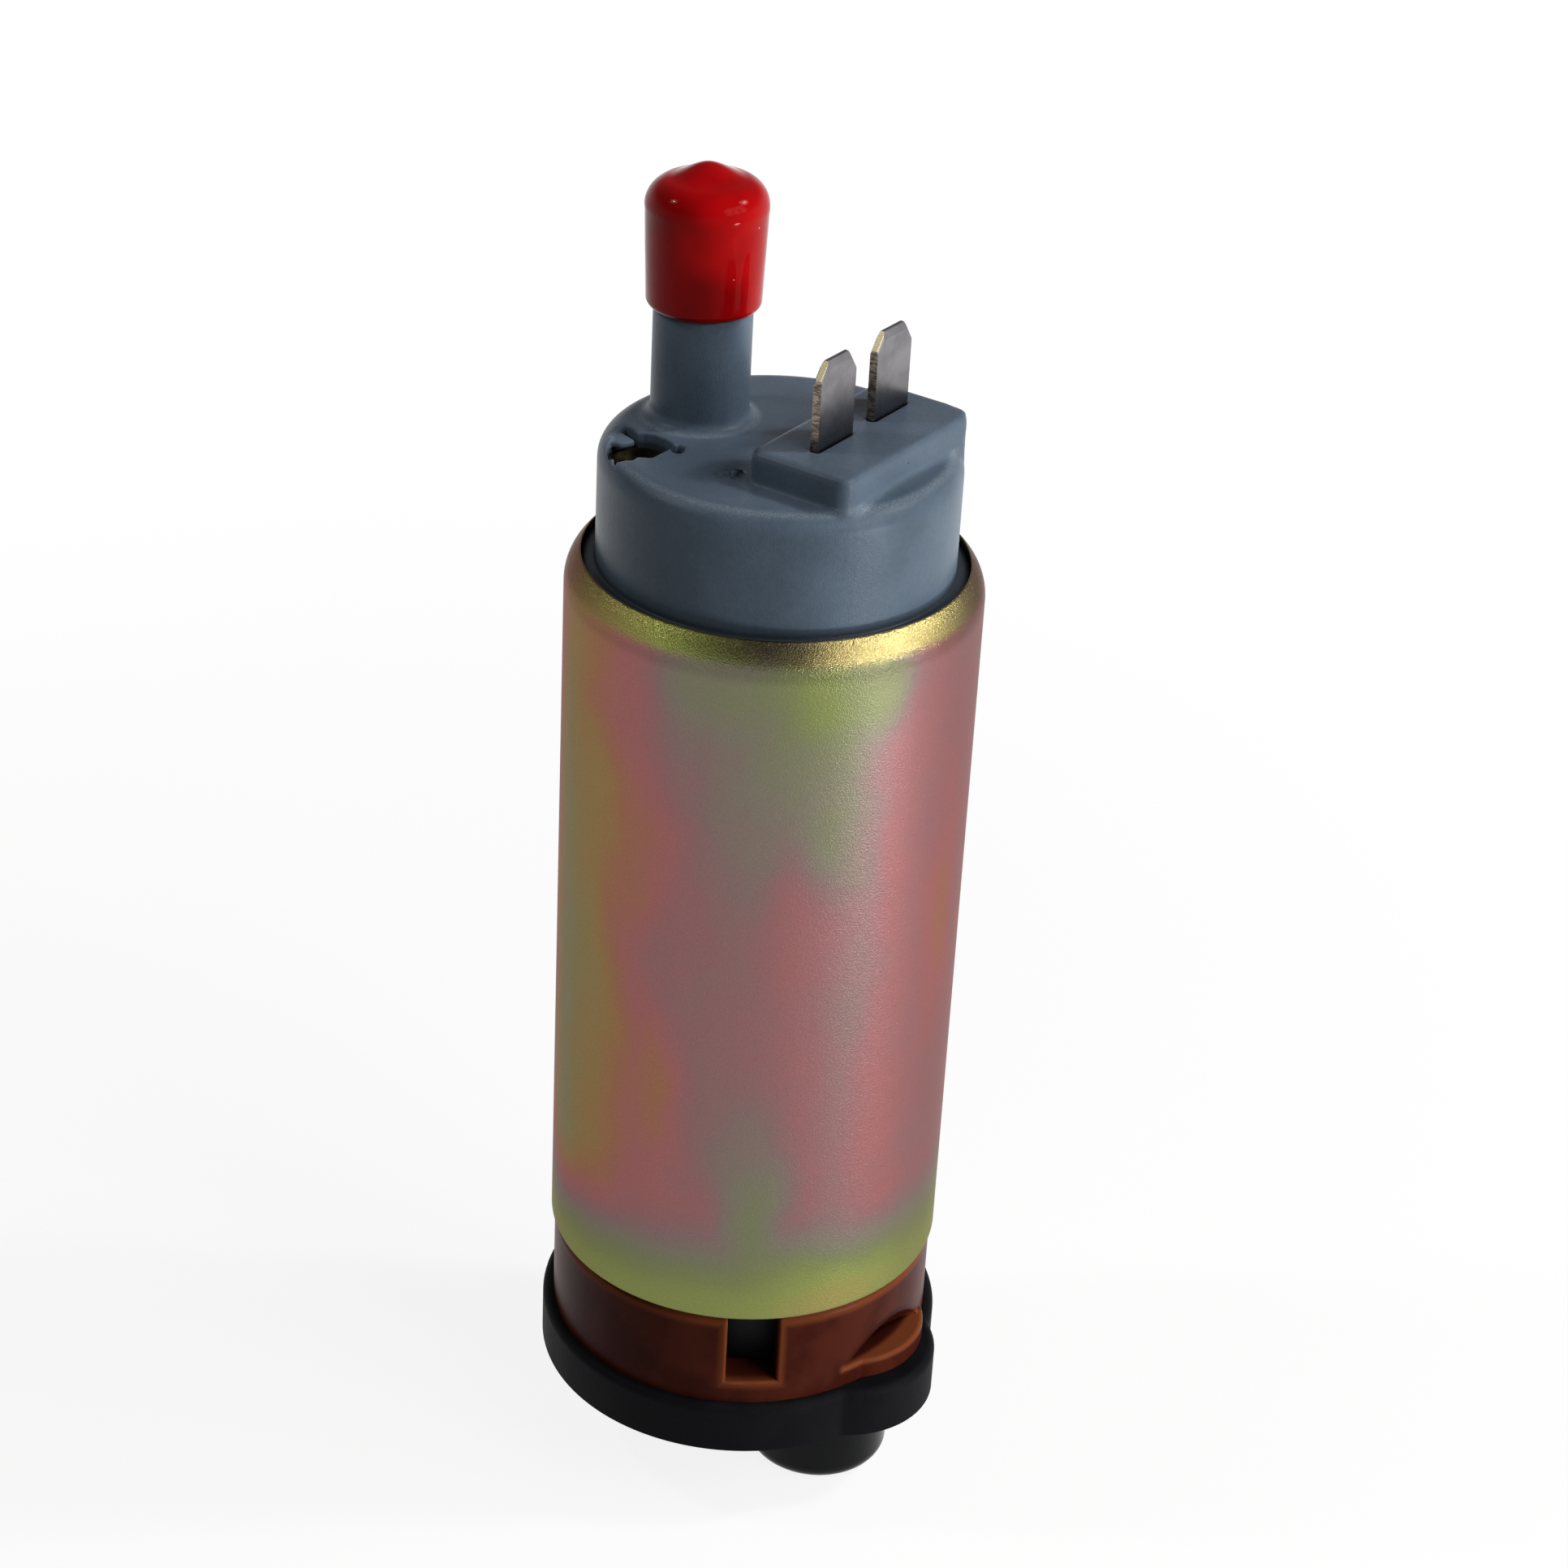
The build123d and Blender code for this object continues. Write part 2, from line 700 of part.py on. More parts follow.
def brush_holder():
    skirt_r = inside_r - holder_skirt_wall
    body = drum(inside_r, holder_bottom, holder_top)
    body += sleeve(inside_r, skirt_r, holder_skirt_bottom, holder_bottom)
    body += drum(holder_boss_r, holder_bottom, holder_top + holder_boss_height)
    half_x = brush_radial / 2 + slide_gap
    half_y = brush_across / 2 + slide_gap
    cup_r = choke_core_r + seat_gap
    for side in (-1, 1):
        x = side * brush_x
        body += block(x - half_x - tube_wall, x + half_x + tube_wall, -half_y - tube_wall,
                      half_y + tube_wall, holder_bottom, holder_tube_top)
        cup_x = side * choke_x
        body += drum(cup_r + choke_cup_wall, holder_bottom, holder_top + choke_cup_height,
                     cup_x, choke_y)
    for side in (-1, 1):
        x = side * brush_x
        body -= block(x - half_x, x + half_x, -half_y, half_y, holder_bottom, holder_tube_top)
        body -= block(x - lead_slot / 2, x + lead_slot / 2, -half_y - tube_wall, -half_y,
                      holder_top + lead_slot_start, holder_tube_top)
        cup_top = holder_top + choke_cup_height
        body -= drum(cup_r, cup_top - choke_cup_depth, cup_top, side * choke_x, choke_y)
    for angle in flow_hole_angles:
        x, y = polar(flow_hole_circle_r, angle)
        body -= drum(flow_hole_r, holder_bottom, holder_top, x, y)
    boss_top = holder_top + holder_boss_height
    body -= drum(shaft_r + shaft_hole_gap, holder_bottom, boss_top)
    return body - drum(bearing_r + seat_gap, upper_bearing_bottom, boss_top - bearing_ledge)


def bearing(low):
    bush = sleeve(bearing_r, shaft_r + running_gap, low, low + bearing_length)
    ends = rims_at(bush, low, bearing_r) + rims_at(bush, low + bearing_length, bearing_r)
    return chamfer(ends, bearing_chamfer)


def brush(side):
    x = side * brush_x
    return block(x - brush_radial / 2, x + brush_radial / 2, -brush_across / 2,
                 brush_across / 2, brush_bottom, brush_top)


def brush_spring(side):
    name = "brush_spring_a" if side < 0 else "brush_spring_b"
    return spring(name, side * brush_x, 0, brush_top, ceiling, spring_coil_r, spring_wire_r,
                  spring_turns)


# The choke's wire comes out at this place and meets the brush's flexible lead there.
def lead_meeting(side):
    return Vector(side * (choke_x + choke_coil_r), lead_drop_y - lead_run, lead_top)


def brush_lead(side):
    start = lead_meeting(side) + Vector(0, stop_gap, 0)
    end_y = -brush_across / 2 - stop_gap
    stations = [
        (start, Vector(0, 1, 0)),
        (Vector(side * brush_x, lead_drop_y, lead_top - lead_top_bend), Vector(0, 0, -1)),
        (Vector(side * brush_x, lead_drop_y, lead_bottom + lead_foot_bend), Vector(0, 0, -1)),
        (Vector(side * brush_x, end_y, lead_bottom), Vector(0, 1, 0)),
    ]
    return wire_along(stations, lead_r)


def choke_core(side):
    low = holder_top + choke_cup_height - choke_cup_depth + stop_gap
    return drum(choke_core_r, low, low + choke_core_length, side * choke_x, choke_y)


def choke_coil(side):
    rise = choke_pitch * choke_turns
    low = lead_top - rise
    start = 180.0 if side > 0 else 0.0
    stations = coil_stations(side * choke_x, choke_y, low, choke_coil_r, choke_pitch,
                             choke_turns, side, start)
    level_in = Vector(0, -1, 0)
    level_out = Vector(0, 1, 0)
    tail_face = blade_y - blade_thick / 2
    weld = Vector(side * (choke_x - choke_coil_r), tail_face - stop_gap, low)
    first = (stations[0][0], level_in)
    last = (stations[-1][0], level_out)
    route = [(weld, level_in), first] + stations[1:-1] + [last, (lead_meeting(side), level_out)]
    name = "choke_coil_a" if side < 0 else "choke_coil_b"
    print_coil_gap(name, choke_coil_r, choke_pitch, choke_turns, choke_wire_r)
    return wire_along(route, choke_wire_r)


# The flat that keys the impeller to the shaft.
def flat_cut(r, low, high, gap):
    return block(shaft_r - shaft_flat + gap, r + shaft_r, -2 * r, 2 * r, low, high)


def rotor_shaft():
    low = button_top + stop_gap
    high = upper_bearing_bottom + bearing_length + shaft_past_bearing
    shaft = drum(shaft_r, low, high)
    ends = rims_at(shaft, low, shaft_r) + rims_at(shaft, high, shaft_r)
    shaft = chamfer(ends, shaft_chamfer)
    return shaft - flat_cut(shaft_r, low, pocket_top, 0)


# The slots between the teeth, as solids, each drawn in from its walls by a gap.
def armature_slots(low, high, gap):
    teeth_outer = armature_r - tooth_tip
    ring = sleeve(teeth_outer - gap, slot_root_r + gap, low, high)
    half = tooth_width / 2 + gap
    tooth = block(0, armature_r, -half, half, low, high)
    for cut in around(tooth_count, tooth):
        ring -= cut
    return ring


def armature_core():
    core = drum(armature_r, core_bottom, core_top)
    core -= drum(shaft_r + running_gap, core_bottom, core_top)
    core -= armature_slots(core_bottom, core_top, 0)
    mouth = block(armature_r - 2 * tooth_tip, armature_r + 1, -slot_mouth / 2, slot_mouth / 2,
                  core_bottom, core_top)
    for cut in around(tooth_count, mouth, 180 / tooth_count):
        core -= cut
    return core


def armature_winding():
    head_r = armature_r - head_inset
    low = core_bottom - head_height
    high = core_top + head_height
    winding = armature_slots(core_bottom - winding_gap, core_top + winding_gap, winding_gap)
    for z0, z1 in ((low, core_bottom - winding_gap), (core_top + winding_gap, high)):
        head = sleeve(head_r, head_inner_r, z0, z1)
        head = fillet(rims_at(head, z0, head_r) + rims_at(head, z1, head_r), head_round)
        winding += head
    return winding


def commutator_hub():
    hub = drum(commutator_r, hub_bottom, segment_bottom - stop_gap)
    hub += drum(hub_neck_r, hub_bottom, commutator_face)
    return hub - drum(shaft_r + running_gap, hub_bottom, commutator_face)


def commutator_segments():
    ring = sleeve(commutator_r, hub_neck_r + seat_gap, segment_bottom, commutator_face)
    split = block(0, 2 * commutator_r, -segment_split / 2, segment_split / 2,
                  segment_bottom, commutator_face)
    for cut in around(segment_count, split):
        ring -= cut
    tang = block(commutator_r - tang_root, commutator_r + tang_length, -tang_width / 2, tang_width / 2,
                 segment_bottom, segment_bottom + tang_height)
    for hook in around(segment_count, tang, 180 / segment_count):
        ring += hook
    return ring


def magnet(middle_angle):
    ring = sleeve(inside_r, magnet_inner_r, magnet_bottom, magnet_top)
    return ring & wedge(inside_r, magnet_bottom, magnet_top, middle_angle, magnet_span)


# A spring clip that spreads the two magnets apart, standing between their ends.
def magnet_clip(middle_angle):
    outer = inside_r
    play = degrees(asin(clip_gap / magnet_inner_r))
    span = 180.0 - magnet_span - 2 * play
    sheet_angle = degrees(asin(clip_sheet / (outer - clip_leg)))
    band = sleeve(outer, outer - clip_sheet, magnet_bottom, magnet_top)
    legs = sleeve(outer, outer - clip_leg, magnet_bottom, magnet_top)
    whole = band & wedge(outer, magnet_bottom, magnet_top, middle_angle, span)
    for side in (-1, 1):
        at = middle_angle + side * (span - sheet_angle) / 2
        whole += legs & wedge(outer, magnet_bottom, magnet_top, at, sheet_angle)
    return whole


# The ring channel beside the impeller's blades, open over all but the stop.
def channel(low, high):
    ring = sleeve(pocket_r - thin_slice, channel_inner_r, low, high)
    return ring - wedge(pocket_r, low, high, channel_stop_at, channel_stop_angle)


def pump_casing():
    body = drum(pump_cover_r, casing_bottom, casing_step + thin_slice)
    body += drum(inside_r, casing_step, casing_top)
    body += sleeve(inside_r, inside_r - casing_skirt_wall, casing_top, casing_top + casing_skirt)
    body += drum(casing_boss_r, casing_top, casing_boss_top)
    body -= drum(pocket_r, casing_bottom, pocket_top)
    body -= channel(pocket_top, pocket_top + channel_depth)
    port_x, port_y = polar((channel_inner_r + pocket_r) / 2, outlet_port_at)
    body -= drum(port_r, pocket_top, casing_top, port_x, port_y)
    body -= drum(shaft_r + shaft_hole_gap, casing_bottom, casing_boss_top)
    body -= drum(bearing_r + seat_gap, lower_bearing_bottom, casing_boss_top)
    groove_r = inside_r - 2 * seal_r - seat_gap
    return body - sleeve(shell_r, groove_r, casing_seal_z - seal_r - seat_gap,
                         casing_seal_z + seal_r + seat_gap)


def impeller():
    low = impeller_bottom
    high = impeller_bottom + impeller_thick
    disc = drum(impeller_r, low, high)
    bore = drum(shaft_r + running_gap, low, high)
    disc -= bore - flat_cut(shaft_r, low, high, running_gap)
    root = impeller_r - blade_slot_radial
    for z0, z1 in ((low, low + blade_slot_depth), (high - blade_slot_depth, high)):
        slot = block(root, impeller_r + 1, -blade_slot / 2, blade_slot / 2, z0, z1)
        disc -= around(blade_count, slot)
    return disc


def pump_cover():
    bottom = inlet_floor_top + stop_gap
    plate_bottom = pump_face - pump_cover_plate
    body = drum(pump_cover_r, plate_bottom, pump_face)
    body += sleeve(pump_cover_r, pump_cover_r - pump_cover_skirt_wall, bottom, plate_bottom)
    body -= channel(pump_face - channel_depth, pump_face)
    x, y = polar((channel_inner_r + pocket_r) / 2, inlet_port_at)
    body -= drum(port_r, plate_bottom, pump_face, x, y)
    return body - drum(button_r + seat_gap, button_top - button_height - stop_gap, pump_face)


def thrust_button():
    return drum(button_r, button_top - button_height, button_top)


# Edges on the inlet cover's outer wall whose middles lie within a span about an angle.
def outer_edges(body, middle_angle, span):
    top = inlet_top - inlet_top_round

    def wanted(edge):
        at = edge.center()
        turn = (degrees(atan2(at.Y, at.X)) - middle_angle + 180) % 360 - 180
        off = abs(dist((at.X, at.Y), (0, 0)) - inlet_r)
        return abs(turn) < span / 2 and off < outer_edge_reach and inlet_bottom < at.Z < top
    return [e for e in body.edges() if wanted(e)]


def inlet_cover():
    spigot_r = inside_r
    groove_r = bore_r - crimp_depth - seat_gap
    groove_top = crimp_height + crimp_play
    cup_r = pump_cover_r + seat_gap
    floor_bottom = inlet_floor_top - inlet_floor
    hollow_r = inlet_r - inlet_under_wall
    body = turned(
        Polyline((0, floor_bottom), (hollow_r, floor_bottom), (hollow_r, inlet_bottom),
                 (inlet_r, inlet_bottom), (inlet_r, inlet_top - inlet_top_round)),
        CenterArc((inlet_r - inlet_top_round, inlet_top - inlet_top_round), inlet_top_round, 0, 90),
        Polyline((inlet_r - inlet_top_round, inlet_top), (groove_r, inlet_top),
                 (groove_r, groove_top), (spigot_r, groove_top + crimp_depth),
                 (spigot_r, spigot_height), (cup_r, spigot_height), (cup_r, inlet_floor_top),
                 (0, inlet_floor_top), (0, floor_bottom)),
    )
    lobe = drum(lobe_r, inlet_bottom, ledge_z, lobe_x, lobe_y)
    lobe = fillet(rims_at(lobe, ledge_z, lobe_r), lobe_edge_round)
    body += lobe - drum(hollow_r, inlet_bottom, ledge_z)
    boss_r = neck_spigot_r + seat_gap + neck_boss_wall
    inner = drum(inlet_r - thin_slice, inlet_bottom, floor_bottom)
    body += drum(boss_r, inlet_bottom, floor_bottom, neck_x, neck_y) & inner
    rib = block(0, hollow_r + thin_slice, -rib_width / 2, rib_width / 2,
                inlet_bottom + rib_lift, floor_bottom)
    for arm in around(rib_count, rib, rib_first_at):
        body += arm
    scoop_x, scoop_y = polar(inlet_r + scoop_out, scoop_at)
    scoop = Cone(scoop_r, scoop_r - scoop_slope * scoop_rise, scoop_rise, align=upright)
    body -= Pos(scoop_x, scoop_y, ledge_z) * scoop
    body = fillet(outer_edges(body, scoop_at, scoop_span), scoop_edge_round)
    gate = block(pump_cover_r - window_root, inlet_r + 1, -window_width / 2, window_width / 2,
                 inlet_floor_top, spigot_height)
    body -= Rot(0, 0, window_at) * gate
    body = fillet(outer_edges(body, window_at, window_span), window_edge_round)
    return body - drum(neck_spigot_r + seat_gap, inlet_bottom, inlet_floor_top, neck_x, neck_y)


# The vertical edges where the foot's round ring meets the lobe that runs round the inlet neck.
def foot_kinks(body):
    def off_ring(edge):
        at = edge.center()
        return max(abs(dist((at.X, at.Y), (0, 0)) - foot_r),
                   abs(dist((at.X, at.Y), (foot_lobe_x, foot_lobe_y)) - foot_lobe_r))
    return [e for e in body.edges().filter_by(Axis.Z) if off_ring(e) < thin_slice]


def rubber_foot():
    body = drum(foot_r, foot_bottom, foot_top)
    body += drum(foot_lobe_r, foot_bottom, foot_top, foot_lobe_x, foot_lobe_y)
    body = fillet(foot_kinks(body), foot_kink_round)
    body = fillet(edges_at(body, foot_top), foot_edge_round)
    pocket_low = inlet_bottom - stop_gap
    body -= drum(inlet_r + seat_gap, pocket_low, foot_top)
    body -= drum(lobe_r + seat_gap, pocket_low, foot_top, lobe_x, lobe_y)
    collar_r = neck_land_r + seat_gap
    collar = drum(collar_r + foot_collar_wall, foot_bottom, pocket_low, neck_x, neck_y)
    open_middle = drum(foot_lip_r, foot_bottom, pocket_low) - collar
    body -= open_middle
    return body - drum(collar_r, foot_bottom, pocket_low, neck_x, neck_y)


def inlet_neck():
    pipe = drum(neck_r, neck_bottom, neck_shoulder, neck_x, neck_y)
    pipe = fillet(rims_at(pipe, neck_bottom, neck_r), neck_end_round)
    pipe += drum(neck_land_r, foot_bottom, neck_shoulder, neck_x, neck_y)
    pipe += drum(neck_spigot_r, neck_shoulder, inlet_floor_top - stop_gap, neck_x, neck_y)
    pipe -= drum(neck_bore_r, neck_bottom, inlet_floor_top, neck_x, neck_y)
    return fillet(rims_at(pipe, neck_bottom, neck_bore_r), neck_mouth_round)


tail_bottom = lead_top - choke_pitch * choke_turns - terminal_tail_below
pieces = {
    "motor_shell": motor_shell(),
    "outlet_cover": outlet_cover(),
    "cover_seal": seal_ring(cover_bottom + cover_seal_up),
    "terminal_positive": terminal(blade_positive_x, blade_positive_x, tail_bottom),
    "terminal_negative": terminal(blade_negative_x, negative_tail_x, tail_bottom),
    "check_seat": check_seat(),
    "check_poppet": check_poppet(),
    "check_spring": check_spring(),
    "check_guide": check_guide(),
    "outlet_dust_cap": outlet_dust_cap(),
    "relief_seat": relief_seat(),
    "relief_ball": relief_ball(),
    "relief_spring": relief_spring(),
    "relief_retainer": relief_retainer(),
    "brush_holder": brush_holder(),
    "upper_bearing": bearing(upper_bearing_bottom),
    "lower_bearing": bearing(lower_bearing_bottom),
    "rotor_shaft": rotor_shaft(),
    "armature_core": armature_core(),
    "armature_winding": armature_winding(),
    "commutator_hub": commutator_hub(),
    "commutator_segments": commutator_segments(),
    "magnet_a": magnet(0),
    "magnet_b": magnet(180),
    "magnet_clip_a": magnet_clip(90),
    "magnet_clip_b": magnet_clip(270),
    "pump_casing": pump_casing(),
    "casing_seal": seal_ring(casing_seal_z),
    "impeller": impeller(),
    "pump_cover": pump_cover(),
    "thrust_button": thrust_button(),
    "inlet_cover": inlet_cover(),
    "inlet_neck": inlet_neck(),
    "rubber_foot": rubber_foot(),
}
for letter, side in (("a", -1), ("b", 1)):
    pieces["brush_" + letter] = brush(side)
    pieces["brush_spring_" + letter] = brush_spring(side)
    pieces["brush_lead_" + letter] = brush_lead(side)
    pieces["choke_core_" + letter] = choke_core(side)
    pieces["choke_coil_" + letter] = choke_coil(side)

os.makedirs("parts", exist_ok=True)
for node, shape in pieces.items():
    export_step(shape, "parts/" + node + ".step")
    print(node, round(shape.volume, 2), "mm3")
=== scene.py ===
import bpy
import bmesh
import numpy as np
from math import acos, cos, degrees, pi, radians, sin, tan
from mathutils import Matrix, Vector


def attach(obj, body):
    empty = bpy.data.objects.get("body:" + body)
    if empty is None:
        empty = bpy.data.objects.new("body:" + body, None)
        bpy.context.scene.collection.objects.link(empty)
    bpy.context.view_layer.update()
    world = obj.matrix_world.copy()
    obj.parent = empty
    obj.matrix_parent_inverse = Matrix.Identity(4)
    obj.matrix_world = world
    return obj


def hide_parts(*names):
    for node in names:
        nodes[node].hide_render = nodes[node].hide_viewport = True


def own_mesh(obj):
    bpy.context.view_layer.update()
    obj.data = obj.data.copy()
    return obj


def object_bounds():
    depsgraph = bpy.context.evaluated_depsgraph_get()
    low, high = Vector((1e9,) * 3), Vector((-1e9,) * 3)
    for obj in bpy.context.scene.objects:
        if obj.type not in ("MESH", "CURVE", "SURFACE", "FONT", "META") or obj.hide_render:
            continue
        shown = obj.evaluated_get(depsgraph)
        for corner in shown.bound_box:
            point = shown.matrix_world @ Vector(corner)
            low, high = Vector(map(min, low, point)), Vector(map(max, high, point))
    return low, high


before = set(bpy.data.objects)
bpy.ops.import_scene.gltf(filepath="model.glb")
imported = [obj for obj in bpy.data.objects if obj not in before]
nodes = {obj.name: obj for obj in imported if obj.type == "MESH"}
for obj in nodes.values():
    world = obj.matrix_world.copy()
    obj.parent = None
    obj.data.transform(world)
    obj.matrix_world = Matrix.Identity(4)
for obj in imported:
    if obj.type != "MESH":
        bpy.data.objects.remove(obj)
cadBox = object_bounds()
mm = 0.001
photoRight = (0.5663, -0.8228, 0.0477)  # the direction that runs to the right in the photo
print("frame loaded:", len(nodes), "CAD nodes")


# Links or sets inputs by name or number.
def setInputs(tree, inputs, values):
    for key, value in values.items():
        if hasattr(value, "is_output"):
            tree.links.new(value, inputs[key])
        else:
            inputs[key].default_value = value


def addNode(tree, kind, inputs=None, **settings):
    node = tree.nodes.new(kind)
    for name, value in settings.items():
        setattr(node, name, value)
    setInputs(tree, node.inputs, inputs or {})
    return node


def doMath(tree, operation, *values):
    return addNode(tree, "ShaderNodeMath", dict(enumerate(values)), operation=operation).outputs[0]


def subtract(tree, first, second):
    return doMath(tree, "SUBTRACT", first, second)


def multiply(tree, first, *others):
    for other in others:
        first = doMath(tree, "MULTIPLY", first, other)
    return first


def largest(tree, first, *others):
    for other in others:
        first = doMath(tree, "MAXIMUM", first, other)
    return first


# How far a value lies from a middle.
def apart(tree, value, middle):
    return doMath(tree, "ABSOLUTE", subtract(tree, value, middle))


# Pulls a value towards a target by a weight from 0 to 1.
def pull(tree, value, target, weight):
    return doMath(tree, "MULTIPLY_ADD", subtract(tree, target, value), weight, value)


# How far a place lies along a level direction.
def levelAlong(tree, x, y, direction):
    return doMath(tree, "MULTIPLY_ADD", x, direction[0], multiply(tree, y, direction[1]))


# How far a place lies from an upright line.
def levelDistance(tree, x, y, centre=(0.0, 0.0)):
    dx = subtract(tree, x, centre[0])
    dy = subtract(tree, y, centre[1])
    return doMath(tree, "SQRT", doMath(tree, "MULTIPLY_ADD", dx, dx, multiply(tree, dy, dy)))


def vectorMath(tree, operation, *values):
    node = addNode(tree, "ShaderNodeVectorMath", dict(enumerate(values)), operation=operation)
    return node.outputs["Value" if operation == "LENGTH" else "Vector"]


def splitAxes(tree, vector):
    return addNode(tree, "ShaderNodeSeparateXYZ", {0: vector}).outputs


# Hex text becomes a linear colour, and a socket passes through as it is.
def asColour(value):
    if not isinstance(value, str):
        return value
    channels = [int(value[i:i + 2], 16) / 255 for i in (0, 2, 4)]
    linear = [c / 12.92 if c <= 0.04045 else ((c + 0.055) / 1.055) ** 2.4 for c in channels]
    return (*linear, 1.0)


def mixColour(tree, factor, first, second):
    inputs = {0: factor, 6: asColour(first), 7: asColour(second)}
    return addNode(tree, "ShaderNodeMix", inputs, data_type="RGBA").outputs[2]


# A smooth step from one value to another as the input passes from low to high.
def smoothStep(tree, value, low, high, toLow=0.0, toHigh=1.0):
    inputs = {0: value, 1: low, 2: high, 3: toLow, 4: toHigh}
    return addNode(tree, "ShaderNodeMapRange", inputs, interpolation_type="SMOOTHSTEP").outputs[0]


# The smooth steps of one look, called with a value and the range's name.
def stepsOf(tree, look):
    return lambda value, name: smoothStep(tree, value, *look[name])


def colourRamp(tree, value, stops):
    node = addNode(tree, "ShaderNodeValToRGB", {0: value})
    elements = node.color_ramp.elements
    while len(elements) < len(stops):
        elements.new(0.5)
    for element, (place, colour) in zip(elements, stops):
        element.position = place
        element.color = asColour(colour)
    return node.outputs[0]


def noise(tree, place, size, detail=2.0, roughness=0.5, stretch=None):
    if stretch:
        place = addNode(tree, "ShaderNodeMapping", {"Vector": place, "Scale": stretch}).outputs[0]
    inputs = {"Vector": place, "Scale": 1.0 / size, "Detail": detail, "Roughness": roughness}
    return addNode(tree, "ShaderNodeTexNoise", inputs).outputs[0]


def newGroup(name, sockets, results):
    group = bpy.data.node_groups.new(name, "ShaderNodeTree")
    for label, value in sockets:
        kind = "NodeSocketVector" if value is None else "NodeSocketFloat"
        socket = group.interface.new_socket(label, in_out="INPUT", socket_type=kind)
        if value is not None:
            socket.default_value = value
    for label in results:
        group.interface.new_socket(label, in_out="OUTPUT", socket_type="NodeSocketFloat")
    given = group.nodes.new("NodeGroupInput").outputs
    out = group.nodes.new("NodeGroupOutput").inputs
    return group, given, out


# Fine surface texture: a height for bump, a roughness that wanders, and soft patches.
def makeGrainGroup():
    tree, given, out = newGroup(
        "surfaceGrain",
        [("Place", None), ("Grain Size", 0.0004), ("Patch Size", 0.006),
         ("Roughness Low", 0.35), ("Roughness High", 0.5)], ["Height", "Roughness", "Patches"])

    def cloud(label):
        scale = doMath(tree, "DIVIDE", 1.0, given[label])
        inputs = {"Vector": given["Place"], "Scale": scale, "Detail": 3.0}
        return addNode(tree, "ShaderNodeTexNoise", inputs).outputs[0]

    fine = cloud("Grain Size")
    patches = cloud("Patch Size")
    mixed = doMath(tree, "MULTIPLY_ADD", fine, 0.5, multiply(tree, patches, 0.5))
    roughness = pull(tree, given["Roughness Low"], given["Roughness High"], mixed)
    setInputs(tree, out, {"Height": fine, "Roughness": roughness, "Patches": patches})
    return tree


# Scattered specks: small round spots in a few of the cells of a Voronoi pattern.
def makeSpeckGroup():
    tree, given, out = newGroup(
        "dustSpecks",
        [("Place", None), ("Spacing", 0.002), ("Speck Size", 0.08), ("Share", 0.2)], ["Mask"])
    scale = doMath(tree, "DIVIDE", 1.0, given["Spacing"])
    cells = addNode(tree, "ShaderNodeTexVoronoi", {"Vector": given["Place"], "Scale": scale}).outputs
    near = doMath(tree, "LESS_THAN", cells["Distance"], given["Speck Size"])
    pick = addNode(tree, "ShaderNodeSeparateColor", {"Color": cells["Color"]}).outputs[0]
    chosen = doMath(tree, "LESS_THAN", pick, given["Share"])
    tree.links.new(multiply(tree, near, chosen), out["Mask"])
    return tree


# Draws the film's thickness towards a target inside one soft oval patch.
def makeFilmPatchGroup():
    fade = (1.65, 0.05)  # where the patch ends and where it is whole, in half widths
    tree, given, out = newGroup(
        "filmPatch",
        [("Place", None), ("Centre", None), ("Stretch", None), ("Thickness", 0.5),
         ("Target", 0.5), ("Strength", 0.8)], ["Thickness"])
    offset = vectorMath(tree, "SUBTRACT", given["Place"], given["Centre"])
    far = vectorMath(tree, "LENGTH", vectorMath(tree, "MULTIPLY", offset, given["Stretch"]))
    weight = smoothStep(tree, far, *fade, 0.0, given["Strength"])
    tree.links.new(pull(tree, given["Thickness"], given["Target"], weight), out["Thickness"])
    return tree


grainGroup = makeGrainGroup()
speckGroup = makeSpeckGroup()
filmPatchGroup = makeFilmPatchGroup()


# The values go to the group's inputs in their order.
def useGroup(tree, group, *values):
    return addNode(tree, "ShaderNodeGroup", dict(enumerate(values)), node_tree=group).outputs


def newMaterial(name):
    material = bpy.data.materials.new(name)
    material.use_nodes = True
    tree = material.node_tree
    place = tree.nodes.new("ShaderNodeTexCoord").outputs["Object"]
    return material, tree, tree.nodes["Principled BSDF"].inputs, place


def bump(tree, height, depth, strength):
    inputs = {"Height": height, "Strength": strength, "Distance": depth}
    return addNode(tree, "ShaderNodeBump", inputs).outputs[0]


